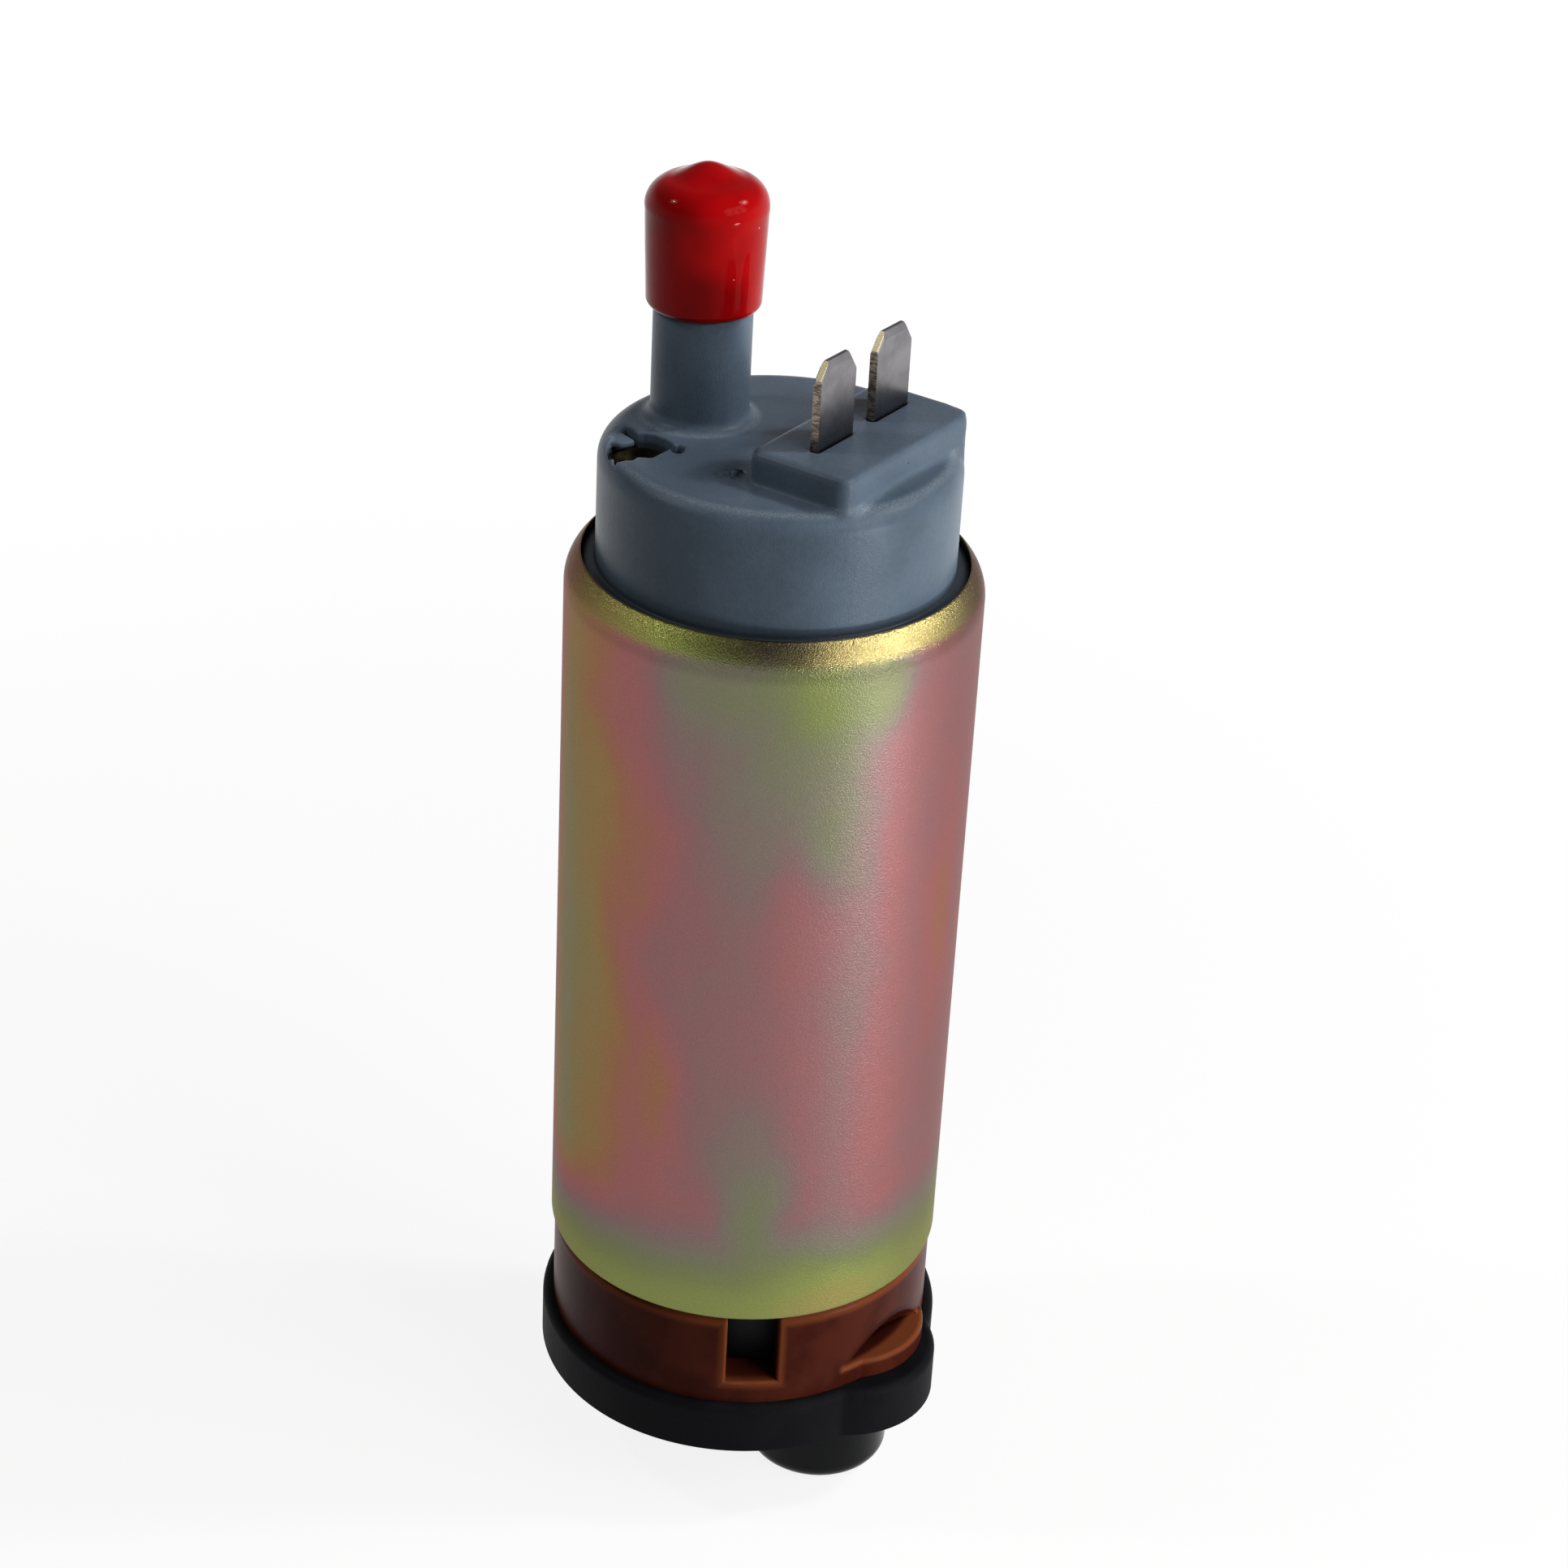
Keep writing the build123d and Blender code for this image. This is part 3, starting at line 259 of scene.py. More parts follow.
# In the looks below, a range is (low, high) or (low, high, value there, value there), a grain is
# (size, patch size, roughness from, to), specks are (spacing, size, share) and a bump is
# (depth, strength). Places are in metres.
def greyBlueMoulding():
    look = {
        "pale": "687889", "deep": "596877", "patches": (0.3, 0.7),
        "grain": (0.00016, 0.010, 0.28, 0.40), "bump": (0.00004, 0.7), "specular": 0.13,
        "mottleSize": 0.0005, "mottle": (0.35, 0.65, 0.0, 0.07), "mottleShade": "20262c",
        "hole": (-0.0093, 0.0088), "holeReach": (0.0046, 0.0042), "holeTop": (0.0818, 0.0812),
        "holeWall": (0.0160, 0.0157), "holePull": 0.65, "holePaintedShade": "1c2023",
        "mark": (-0.0091, -0.0007), "markReach": (0.0016, 0.0005, 0.0, 0.55),
        "markSize": 0.0007, "markBreaks": (0.42, 0.52), "markShade": "1b2025",
        "darkSpecks": (0.0021, 0.045, 0.15), "darkSpeck": "17191c",
        "paleSpecks": (0.0024, 0.035, 0.06), "paleSpeck": "c9cdd0",
        "rimReach": 0.01515, "nipple": (0.0, 0.009), "footReach": 0.00530, "edge": (0.0006, 0.0),
        "edgeLow": (0.0808, 0.0814), "edgeHigh": (0.0829, 0.0826),
        "fleckSize": 0.00015, "flecks": (0.42, 0.66, 0.12, 0.42), "fleck": "a9b6bf",
        "gap": (0.0717, 0.0709, 0.0, 0.8), "gapPaintedShade": "1b1f24",
    }
    material, tree, shader, place = newMaterial("greyBlueMoulding")
    step = stepsOf(tree, look)
    x, y, z = splitAxes(tree, place)
    grain = useGroup(tree, grainGroup, place, *look["grain"])
    colour = mixColour(tree, step(grain["Patches"], "patches"), look["deep"], look["pale"])
    mottle = step(noise(tree, place, look["mottleSize"]), "mottle")
    colour = mixColour(tree, mottle, colour, look["mottleShade"])
    # painted shade darkens the inside of the torn hole, and the raised mark and the cover round it
    # are darkened in broken patches
    outside = levelDistance(tree, x, y)
    inHole = multiply(tree, step(levelDistance(tree, x, y, look["hole"]), "holeReach"),
                      step(z, "holeTop"), step(outside, "holeWall"), look["holePull"])
    colour = mixColour(tree, inHole, colour, look["holePaintedShade"])
    markDarkening = multiply(tree, step(levelDistance(tree, x, y, look["mark"]), "markReach"),
                      step(noise(tree, place, look["markSize"]), "markBreaks"))
    colour = mixColour(tree, markDarkening, colour, look["markShade"])
    for tone in ("dark", "pale"):
        specks = useGroup(tree, speckGroup, place, *look[tone + "Specks"])[0]
        colour = mixColour(tree, specks, colour, look[tone + "Speck"])
    # painted glints run along the rim and the nipple's foot, and painted shade darkens the gap inside
    # the shell's lip
    rimGap = apart(tree, outside, look["rimReach"])
    footGap = apart(tree, levelDistance(tree, x, y, look["nipple"]), look["footReach"])
    paintedGlintMask = multiply(tree, step(doMath(tree, "MINIMUM", rimGap, footGap), "edge"),
                       step(z, "edgeLow"), step(z, "edgeHigh"),
                       step(noise(tree, place, look["fleckSize"]), "flecks"))
    colour = mixColour(tree, paintedGlintMask, colour, look["fleck"])
    # painted shade in the gap inside the shell's lip
    colour = mixColour(tree, step(z, "gap"), colour, look["gapPaintedShade"])
    setInputs(tree, shader, {
        "Base Color": colour, "Roughness": grain["Roughness"], "Specular IOR Level": look["specular"],
        "Normal": bump(tree, grain["Height"], *look["bump"])})
    return material


# Yellow chromate over zinc. The film's thickness drifts over the shell and sets its colour, and the
# shoulder also gets painted highlights and painted shade.
def yellowChromate():
    look = {
        "radius": 0.019, "rest": 0.5, "drift": 0.16, "driftSize": 0.020, "cloud": 0.09,
        "cloudSize": 0.0045, "warp": 0.0065, "warpSize": 0.013,
        # the film's colours from thin to thick
        "film": [
            (0.0, "8a8c74"), (0.10, "8d875c"), (0.20, "9c7f50"), (0.30, "a37156"), (0.40, "a66a68"),
            (0.50, "9a6c6d"), (0.58, "8c7370"), (0.66, "837d6d"), (0.74, "7f8262"), (0.82, "828a57"),
            (0.90, "8f9755"), (0.96, "a09458"), (1.0, "ac8758")],
        # soft patches: angle in degrees, height in mm, half widths in both, thickness, pull
        "patches": [
            (165, 36, 12, 45, 0.19, 0.95), (147, 34, 14, 60, 0.05, 0.95),
            (161, 3.5, 14, 8, 0.40, 0.80), (172, 64.2, 9, 8, 0.41, 0.90),
            (178, 47, 10, 12, 0.33, 0.85), (-175, 24.2, 9, 10, 0.26, 0.80),
            (-176, 7.5, 14, 8, 0.40, 0.85), (-167, 61.5, 12, 9, 0.60, 0.70),
            (-161, 66.5, 16, 4, 0.78, 0.70), (-135, 65.5, 17, 6.5, 0.88, 0.95),
            (-118, 67, 14, 4.5, 0.84, 0.80), (-145, 58.7, 13, 7, 0.72, 0.85),
            (-127, 54, 11, 8, 0.76, 0.85), (-150, 50.5, 12, 8, 0.66, 0.80),
            (-135, 42.1, 10, 8, 0.42, 0.75), (-137, 30, 10, 8, 0.45, 0.60),
            (-153, 35, 14, 16, 0.53, 0.60), (-147, 17.5, 11, 7, 0.66, 0.80),
            (-143, 11.5, 9, 6, 0.76, 0.85), (-118, 34, 9, 30, 0.58, 0.70),
            (-104, 42.3, 9, 14, 0.43, 0.75), (-107, 20.5, 10, 12, 0.42, 0.80),
            (-97, 64, 12, 8, 0.46, 0.80), (-85, 42.2, 9, 12, 0.22, 0.60),
            (-92, 52, 10, 10, 0.50, 0.60), (20, 45, 26, 16, 0.74, 0.80),
            (75, 22, 20, 14, 0.30, 0.80), (-40, 22, 22, 18, 0.62, 0.70),
            (60, 58, 20, 10, 0.40, 0.70), (-20, 60, 20, 10, 0.80, 0.70),
            (110, 50, 16, 20, 0.55, 0.60)],
        "orange": (-122, 1.5, 20, 4, 0.97, 0.80),
        "band": (0.0130, 0.0006), "bandFilm": 0.88, "bandWarp": 0.45,
        # the shoulder's colour across the view from left to right: film colours with painted
        # highlights at both sides and painted shade between
        "rim": [
            (0.02, "5a4a38"), (0.12, "7d7a44"), (0.24, "96a34a"), (0.36, "6f7838"), (0.48, "4a4330"),
            (0.56, "5d5138"), (0.66, "b0a068"), (0.78, "d2c07c"), (0.88, "b3aa68"), (0.97, "5c5a48")],
        "shoulder": (0.0688, 0.0700, 0.0, 0.85),
        "bendLow": (0.0675, 0.0686), "bendHigh": (0.0700, 0.0689, 0.0, 0.3), "bendPaintedShade": "3f3d29",
        "lip": (0.07138, 0.07146), "lipShade": "a8a493",
        "peel": (0.00025, 0.005, 0.27, 0.38), "fineSize": 0.00013,
        "mottle": (0.35, 0.65, 0.0, 0.12), "mottleShade": "2e2a20",
        "metallic": (0.0680, 0.0700, 0.72, 0.95), "specular": 0.2, "mirror": "c9b6b2",
        "satin": (0.0700, 0.0670, -0.08, 0.10), "fineBump": 0.9, "peelBump": 0.5,
        "bumpRise": (0.0660, 0.0700, 0.6, 1.4), "bump": (0.0001, 0.6),
    }
    material, tree, shader, place = newMaterial("yellowChromate")
    step = stepsOf(tree, look)
    x, y, z = splitAxes(tree, place)
    inputs = {"Vector": place, "Scale": 1 / look["warpSize"], "Detail": 2.0}
    swirl = addNode(tree, "ShaderNodeTexNoise", inputs).outputs["Color"]
    swirl = vectorMath(tree, "SUBTRACT", swirl, (0.5, 0.5, 0.5))
    warped = vectorMath(tree, "MULTIPLY_ADD", swirl, (look["warp"],) * 3, place)

    def addPatch(thick, angle, height, spanAngle, spanHeight, target, strength):
        turn = radians(angle)
        reach = 2 * look["radius"] * sin(radians(spanAngle) / 2)
        centre = (look["radius"] * cos(turn), look["radius"] * sin(turn), height * mm)
        stretch = (1 / reach, 1 / reach, 1 / (spanHeight * mm))
        return useGroup(tree, filmPatchGroup, warped, centre, stretch, thick, target, strength)[0]

    drift = subtract(tree, noise(tree, place, look["driftSize"]), 0.5)
    thick = doMath(tree, "MULTIPLY_ADD", drift, look["drift"], look["rest"])
    for patch in look["patches"]:
        thick = addPatch(thick, *patch)
    cloud = subtract(tree, noise(tree, place, look["cloudSize"]), 0.5)
    thick = doMath(tree, "MULTIPLY_ADD", cloud, look["cloud"], thick)
    bandPlace = pull(tree, z, splitAxes(tree, warped)[2], look["bandWarp"])
    thick = pull(tree, thick, look["bandFilm"], step(bandPlace, "band"))
    thick = addPatch(thick, *look["orange"])
    film = colourRamp(tree, thick, look["film"])
    # painted highlights and shade laid over the shoulder along the view's left-right direction
    inputs = {0: levelAlong(tree, x, y, photoRight), 1: -look["radius"], 2: look["radius"]}
    rim = colourRamp(tree, addNode(tree, "ShaderNodeMapRange", inputs).outputs[0], look["rim"])
    film = mixColour(tree, step(z, "shoulder"), film, rim)
    # a dark line of painted shade below the shoulder
    bend = multiply(tree, step(z, "bendLow"), step(z, "bendHigh"))
    film = mixColour(tree, bend, film, look["bendPaintedShade"])
    film = mixColour(tree, step(z, "lip"), film, look["lipShade"])
    peel = useGroup(tree, grainGroup, place, *look["peel"])
    fine = noise(tree, place, look["fineSize"])
    film = mixColour(tree, step(fine, "mottle"), film, look["mottleShade"])
    satin = doMath(tree, "ADD", peel["Roughness"], step(z, "satin"))
    coarse = multiply(tree, peel["Height"], look["peelBump"])
    height = doMath(tree, "MULTIPLY_ADD", fine, look["fineBump"], coarse)
    height = multiply(tree, height, step(z, "bumpRise"))
    setInputs(tree, shader, {
        "Base Color": film, "Metallic": step(z, "metallic"), "Roughness": satin,
        "Specular IOR Level": look["specular"], "Specular Tint": asColour(look["mirror"]),
        "Normal": bump(tree, height, *look["bump"])})
    return material


def redVinyl():
    look = {
        "deep": "b0090e", "pale": "c40b0f", "waveSize": 0.004, "wave": (0.3, 0.7),
        "specks": (0.0012, 0.08, 0.26), "lint": "d9b4ae", "lintRough": 0.4, "gloss": 0.05,
        "specular": 0.11, "mirror": "c88e84", "bump": (0.0003, 0.2),
    }
    material, tree, shader, place = newMaterial("redVinyl")
    wave = noise(tree, place, look["waveSize"])
    colour = mixColour(tree, smoothStep(tree, wave, *look["wave"]), look["deep"], look["pale"])
    specks = useGroup(tree, speckGroup, place, *look["specks"])[0]
    setInputs(tree, shader, {
        "Base Color": mixColour(tree, specks, colour, look["lint"]),
        "Roughness": doMath(tree, "MULTIPLY_ADD", specks, look["lintRough"], look["gloss"]),
        "Specular IOR Level": look["specular"], "Specular Tint": asColour(look["mirror"]),
        "Normal": bump(tree, wave, *look["bump"])})
    return material


# Tinned blade: the faces darken towards the block with a painted reflection of it, and the sheared
# edges show the base metal.
def tinPlate():
    look = {
        "pale": "8e8b8e", "deep": "7a777a", "patchSize": 0.0022, "patches": (0.35, 0.7),
        "low": "4f4d50", "paintedReflectionReach": (0.0915, 0.0835, 0.0, 0.75),
        "lineSize": 0.00016, "lineStretch": (1.0, 1.0, 0.03), "lineRough": (0.3, 0.7, 0.26, 0.28),
        "centres": (-0.0032, 0.00555), "bevelFrom": 0.09177, "bevelSlope": 0.6875,
        "sheared": (0.00261, 0.00267), "bevelReach": (0.0, 0.0001), "bevel": "cdc29a",
        "stripeSize": 0.0002, "stripeStretch": (1.0, 0.3, 1.0), "stripes": (0.42, 0.6),
        "edge": "8b7f74", "stripe": "574e46",
    }
    material, tree, shader, place = newMaterial("tinPlate")
    step = stepsOf(tree, look)
    x, _, z = splitAxes(tree, place)
    patches = step(noise(tree, place, look["patchSize"], 3.0), "patches")
    colour = mixColour(tree, patches, look["pale"], look["deep"])
    # painted reflection of the block darkens the faces' lower part
    colour = mixColour(tree, step(z, "paintedReflectionReach"), colour, look["low"])
    off = [apart(tree, x, centre) for centre in look["centres"]]
    rise = largest(tree, subtract(tree, z, look["bevelFrom"]), 0.0)
    near = doMath(tree, "MULTIPLY_ADD", rise, look["bevelSlope"], doMath(tree, "MINIMUM", *off))
    drawn = noise(tree, place, look["stripeSize"], 2.0, 0.5, look["stripeStretch"])
    edge = mixColour(tree, step(drawn, "stripes"), look["edge"], look["stripe"])
    edge = mixColour(tree, step(rise, "bevelReach"), edge, look["bevel"])
    colour = mixColour(tree, step(near, "sheared"), colour, edge)
    lines = noise(tree, place, look["lineSize"], 3.0, 0.6, look["lineStretch"])
    setInputs(tree, shader, {
        "Base Color": colour, "Metallic": 1.0, "Roughness": step(lines, "lineRough")})
    return material


# Brown moulding: its rounded edges get a painted orange highlight, and the scoop gets painted shade
# inside.
def brownPhenolic():
    look = {
        "deep": "431911", "pale": "552519", "patches": (0.35, 0.65), "glow": "9c5430",
        "glowPull": 0.6, "shade": "2b0d08", "grain": (0.00025, 0.005, 0.26, 0.38),
        "bump": (0.00003, 0.4), "specular": 0.03, "outer": (0.01735, 0.01835),
        "topBand": (-0.00196, -0.00112, 0.0, 0.8),
        "windowAngle": -141.5, "windowHalf": 0.00245, "windowLow": -0.00805,
        "windowBand": (0.00114, 0.00006), "windowSide": (0.0, 0.01),
        "scoopAngle": -93.5, "scoopOut": 0.0296, "scoopRadius": 0.0133, "scoopSlope": 0.712,
        "scoopWall": (0.0006, 0.0002), "scoopShade": (0.0004, 0.0030, 0.25, 0.85),
        "ledge": -0.00845, "onLedge": (0.0138, 0.0133), "ledgeShade": (0.0004, 0.0002, 0.0, 0.75),
        "ledgeInner": (0.01835, 0.01735), "lip": (0.00072, 0.00006), "lipOuter": (0.01765, 0.01835),
    }
    material, tree, shader, place = newMaterial("brownPhenolic")
    step = stepsOf(tree, look)
    x, y, z = splitAxes(tree, place)
    grain = useGroup(tree, grainGroup, place, *look["grain"])
    colour = mixColour(tree, step(grain["Patches"], "patches"), look["deep"], look["pale"])
    outside = levelDistance(tree, x, y)
    # the window's edge, where the painted highlight runs
    turn = radians(look["windowAngle"])
    sideways = doMath(tree, "ABSOLUTE", levelAlong(tree, x, y, (-sin(turn), cos(turn))))
    frameGap = largest(tree, subtract(tree, sideways, look["windowHalf"]),
                       subtract(tree, look["windowLow"], z))
    facing = levelAlong(tree, x, y, (cos(turn), sin(turn)))
    windowBand = multiply(tree, step(doMath(tree, "ABSOLUTE", frameGap), "windowBand"),
                          step(facing, "windowSide"))
    # painted shade on the scoop's wall and its ledge
    turn = radians(look["scoopAngle"])
    far = levelDistance(tree, x, y, (look["scoopOut"] * cos(turn), look["scoopOut"] * sin(turn)))
    rise = subtract(tree, z, look["ledge"])
    offLedge = doMath(tree, "ABSOLUTE", rise)
    onLedge = step(far, "onLedge")
    rimRadius = doMath(tree, "MULTIPLY_ADD", rise, -look["scoopSlope"], look["scoopRadius"])
    scoopShade = multiply(tree, step(apart(tree, far, rimRadius), "scoopWall"),
                          step(rise, "scoopShade"))
    colour = mixColour(tree, scoopShade, colour, look["shade"])
    ledgeShade = multiply(tree, step(outside, "ledgeInner"), step(offLedge, "ledgeShade"), onLedge)
    colour = mixColour(tree, ledgeShade, colour, look["shade"])
    lip = multiply(tree, step(offLedge, "lip"), onLedge, step(outside, "lipOuter"))
    # painted orange highlight along the top edge, the window's edge and the ledge's lip
    glow = largest(tree, step(z, "topBand"), windowBand, lip)
    glow = multiply(tree, glow, step(outside, "outer"), look["glowPull"])
    setInputs(tree, shader, {
        "Base Color": mixColour(tree, glow, colour, look["glow"]), "Roughness": grain["Roughness"],
        "Specular IOR Level": look["specular"], "Normal": bump(tree, grain["Height"], *look["bump"])})
    return material


# One maker for the plainer finishes: two tones in soft patches over a fine grain.
def plainFinish(name, pale, deep, low, high, metallic=0.0, grainSize=0.0003, specular=0.5,
                depth=0.00002):
    look = {"patchSize": 0.004, "patches": (0.3, 0.7), "bumpStrength": 0.5}
    material, tree, shader, place = newMaterial(name)
    grain = useGroup(tree, grainGroup, place, grainSize, look["patchSize"], low, high)
    patches = smoothStep(tree, grain["Patches"], *look["patches"])
    setInputs(tree, shader, {
        "Base Color": mixColour(tree, patches, deep, pale), "Metallic": metallic,
        "Specular IOR Level": specular, "Roughness": grain["Roughness"],
        "Normal": bump(tree, grain["Height"], depth, look["bumpStrength"])})
    return material


def dress(material, *names):
    for name in names:
        slots = nodes[name].data.materials
        slots.clear()
        slots.append(material)


# Name, pale and deep tone, roughness from and to, what else differs, and what wears it.
def dressPlainNodes():
    metal = {"metallic": 1.0}
    finishes = [
        ("blackGloss", "060708", "040506", 0.12, 0.20, {"specular": 0.12}, ["inlet_neck"]),
        ("blackRubber", "17171b", "111114", 0.5, 0.7,
         {"grainSize": 0.0004, "specular": 0.05, "depth": 0.00005}, ["rubber_foot"]),
        ("blackSeal", "1a1a1c", "121214", 0.45, 0.6, {},
         ["cover_seal", "casing_seal", "check_seat"]),
        # the pump cover is darkened past its own tone as painted shade for the inside seen through
        # the window
        ("darkMouldingPaintedShade", "0f1012", "0a0b0c", 0.35, 0.55, {"specular": 0.12},
         ["pump_cover", "brush_holder"]),
        ("paleMoulding", "c4bda9", "b0a993", 0.35, 0.5, {}, ["check_guide"]),
        ("darkPhenolic", "3a2216", "2a180f", 0.35, 0.55, {}, ["impeller", "commutator_hub"]),
        ("pressedCarbon", "2a2a2c", "1c1c1e", 0.5, 0.7, {}, ["brush_a", "brush_b"]),
        ("ferrite", "3a3a3e", "29292c", 0.4, 0.6, {},
         ["magnet_a", "magnet_b", "choke_core_a", "choke_core_b"]),
        ("brightSteel", "b3b5b9", "989a9f", 0.2, 0.34, metal,
         ["rotor_shaft", "check_spring", "relief_spring", "brush_spring_a", "brush_spring_b",
          "thrust_button", "relief_ball"]),
        ("springSteel", "8f9196", "77797e", 0.28, 0.42, metal, ["magnet_clip_a", "magnet_clip_b"]),
        ("laminations", "6d6f74", "55575c", 0.35, 0.5, metal, ["armature_core"]),
        ("copperWire", "a8562c", "8f4420", 0.3, 0.45, metal,
         ["armature_winding", "choke_coil_a", "choke_coil_b", "brush_lead_a", "brush_lead_b"]),
        ("turnedCopper", "c27648", "ab6238", 0.22, 0.35, metal, ["commutator_segments"]),
        ("sinteredBronze", "8a6a3c", "74562e", 0.4, 0.55, metal, ["upper_bearing", "lower_bearing"]),
        ("turnedBrass", "b89850", "9c7f3e", 0.22, 0.36, metal, ["check_poppet", "relief_seat"]),
        # the retainer's brass is darkened as painted shade inside the torn hole
        ("pressedBrassPaintedShade", "5f584a", "3a372f", 0.25, 0.4, metal, ["relief_retainer"]),
        ("dieCastAluminium", "a4a6a8", "8d8f92", 0.35, 0.5, metal, ["pump_casing"]),
    ]
    for name, pale, deep, low, high, more, wearers in finishes:
        dress(plainFinish(name, pale, deep, low, high, **more), *wearers)


greyBlue = greyBlueMoulding()
chromate = yellowChromate()
vinyl = redVinyl()
dress(greyBlue, "outlet_cover")
dress(chromate, "motor_shell")
dress(vinyl, "outlet_dust_cap")
dress(tinPlate(), "terminal_positive", "terminal_negative")
dress(brownPhenolic(), "inlet_cover")
dressPlainNodes()
print("materials on the CAD nodes: done")


# One node tree spins a drawn profile about an axis, for the turned pieces.
def makeTurningTree():
    weld = 0.000002
    tree = bpy.data.node_groups.new("turnedForm", "GeometryNodeTree")
    face = tree.interface
    face.new_socket("Geometry", in_out="INPUT", socket_type="NodeSocketGeometry")
    for label, kind, value in (
            ("Segments", "NodeSocketInt", 192), ("Axis Place", "NodeSocketVector", None),
            ("Dimple Depth", "NodeSocketFloat", 0.0), ("Dimple Size", "NodeSocketFloat", 0.003),
            ("Seed", "NodeSocketFloat", 0.0), ("Finish", "NodeSocketMaterial", None)):
        socket = face.new_socket(label, in_out="INPUT", socket_type=kind)
        if value is not None:
            socket.default_value = value
    face.new_socket("Geometry", in_out="OUTPUT", socket_type="NodeSocketGeometry")
    given = tree.nodes.new("NodeGroupInput").outputs

    def form(kind, shape, more=None, **settings):
        inputs = {"Geometry": shape, **(more or {})}
        return addNode(tree, "GeometryNode" + kind, inputs, **settings).outputs[0]

    # a grid has one column of points for each copy of the profile
    count = form("AttributeDomainSize", given["Geometry"])
    columns = doMath(tree, "ADD", given["Segments"], 1.0)
    inputs = {"Vertices X": columns, "Vertices Y": count}
    grid = addNode(tree, "GeometryNodeMeshGrid", inputs).outputs["Mesh"]
    index = tree.nodes.new("GeometryNodeInputIndex").outputs[0]
    column = doMath(tree, "FLOOR", doMath(tree, "DIVIDE", doMath(tree, "ADD", index, 0.5), count))
    row = subtract(tree, index, multiply(tree, column, count))
    place = tree.nodes.new("GeometryNodeInputPosition").outputs[0]
    drawn = form("SampleIndex", given["Geometry"], {"Value": place, "Index": row},
                 data_type="FLOAT_VECTOR")
    radius, _, height = splitAxes(tree, drawn)
    angle = multiply(tree, doMath(tree, "DIVIDE", column, given["Segments"]), 2 * pi)
    spun = addNode(tree, "ShaderNodeCombineXYZ", {
        "X": multiply(tree, radius, doMath(tree, "COSINE", angle)),
        "Y": multiply(tree, radius, doMath(tree, "SINE", angle)), "Z": height}).outputs[0]
    moved = vectorMath(tree, "ADD", spun, given["Axis Place"])
    shape = form("SetPosition", grid, {"Position": moved})
    shape = form("MergeByDistance", shape, {"Distance": weld})
    # a slow noise dents the surface a little
    inputs = {"Vector": place, "W": given["Seed"], "Detail": 1.0,
              "Scale": doMath(tree, "DIVIDE", 1.0, given["Dimple Size"])}
    rough = addNode(tree, "ShaderNodeTexNoise", inputs, noise_dimensions="4D").outputs[0]
    push = multiply(tree, rough, given["Dimple Depth"], -1.0)
    normal = tree.nodes.new("GeometryNodeInputNormal").outputs[0]
    offset = addNode(tree, "ShaderNodeVectorMath", {0: normal, 3: push}, operation="SCALE").outputs[0]
    shape = form("SetPosition", shape, {"Offset": offset})
    shape = form("SetShadeSmooth", shape)
    shape = form("RealizeInstances", shape)
    shape = form("SetMaterial", shape, {"Material": given["Finish"]})
    tree.links.new(shape, tree.nodes.new("NodeGroupOutput").inputs[0])
    return tree


turningTree = makeTurningTree()


def evaluatedMesh(obj):
    bpy.context.view_layer.update()
    shaped = obj.evaluated_get(bpy.context.evaluated_depsgraph_get())
    return bpy.data.meshes.new_from_object(shaped)


# Runs a Geometry Nodes tree on an object and returns its result as a plain mesh.
def runTree(obj, tree, values):
    modifier = obj.modifiers.new("form", "NODES")
    modifier.node_group = tree
    for item in tree.interface.items_tree:
        if item.in_out == "INPUT" and item.name in values:
            modifier[item.identifier] = values[item.name]
    obj.update_tag()
    mesh = evaluatedMesh(obj)
    obj.modifiers.remove(modifier)
    return mesh


def newObject(name, data):
    obj = bpy.data.objects.new(name, data)
    bpy.context.scene.collection.objects.link(obj)
    return obj


def arcPoints(x, z, r, start, end, steps):
    turns = [radians(start + (end - start) * i / steps) for i in range(steps + 1)]
    return [(x + r * cos(a), z + r * sin(a)) for a in turns]


def bezierPoint(t, a, b, c, d):
    s = 1 - t
    return s**3 * a + 3 * s**2 * t * b + 3 * s * t**2 * c + t**3 * d


# Points are (radius, height) in mm. A profile that meets the axis starts and ends there;
# one that doesn't repeats its first point at its end.
def turnedPiece(name, points, values, finish):
    profile = bpy.data.meshes.new(name + "Profile")
    profile.from_pydata([(r * mm, 0, z * mm) for r, z in points],
                        [(i, i + 1) for i in range(len(points) - 1)], [])
    holder = newObject(name, profile)
    mesh = runTree(holder, turningTree, {**values, "Finish": finish})
    holder.data = mesh
    bpy.data.meshes.remove(profile)
    mesh.name = name
    mesh.calc_loop_triangles()
    volume = 0.0
    for triangle in mesh.loop_triangles:
        a, b, c = (mesh.vertices[i].co for i in triangle.vertices)
        volume += a.dot(b.cross(c))
    if volume < 0:
        mesh.flip_normals()
    print(name, "faces:", len(mesh.polygons))
    return holder


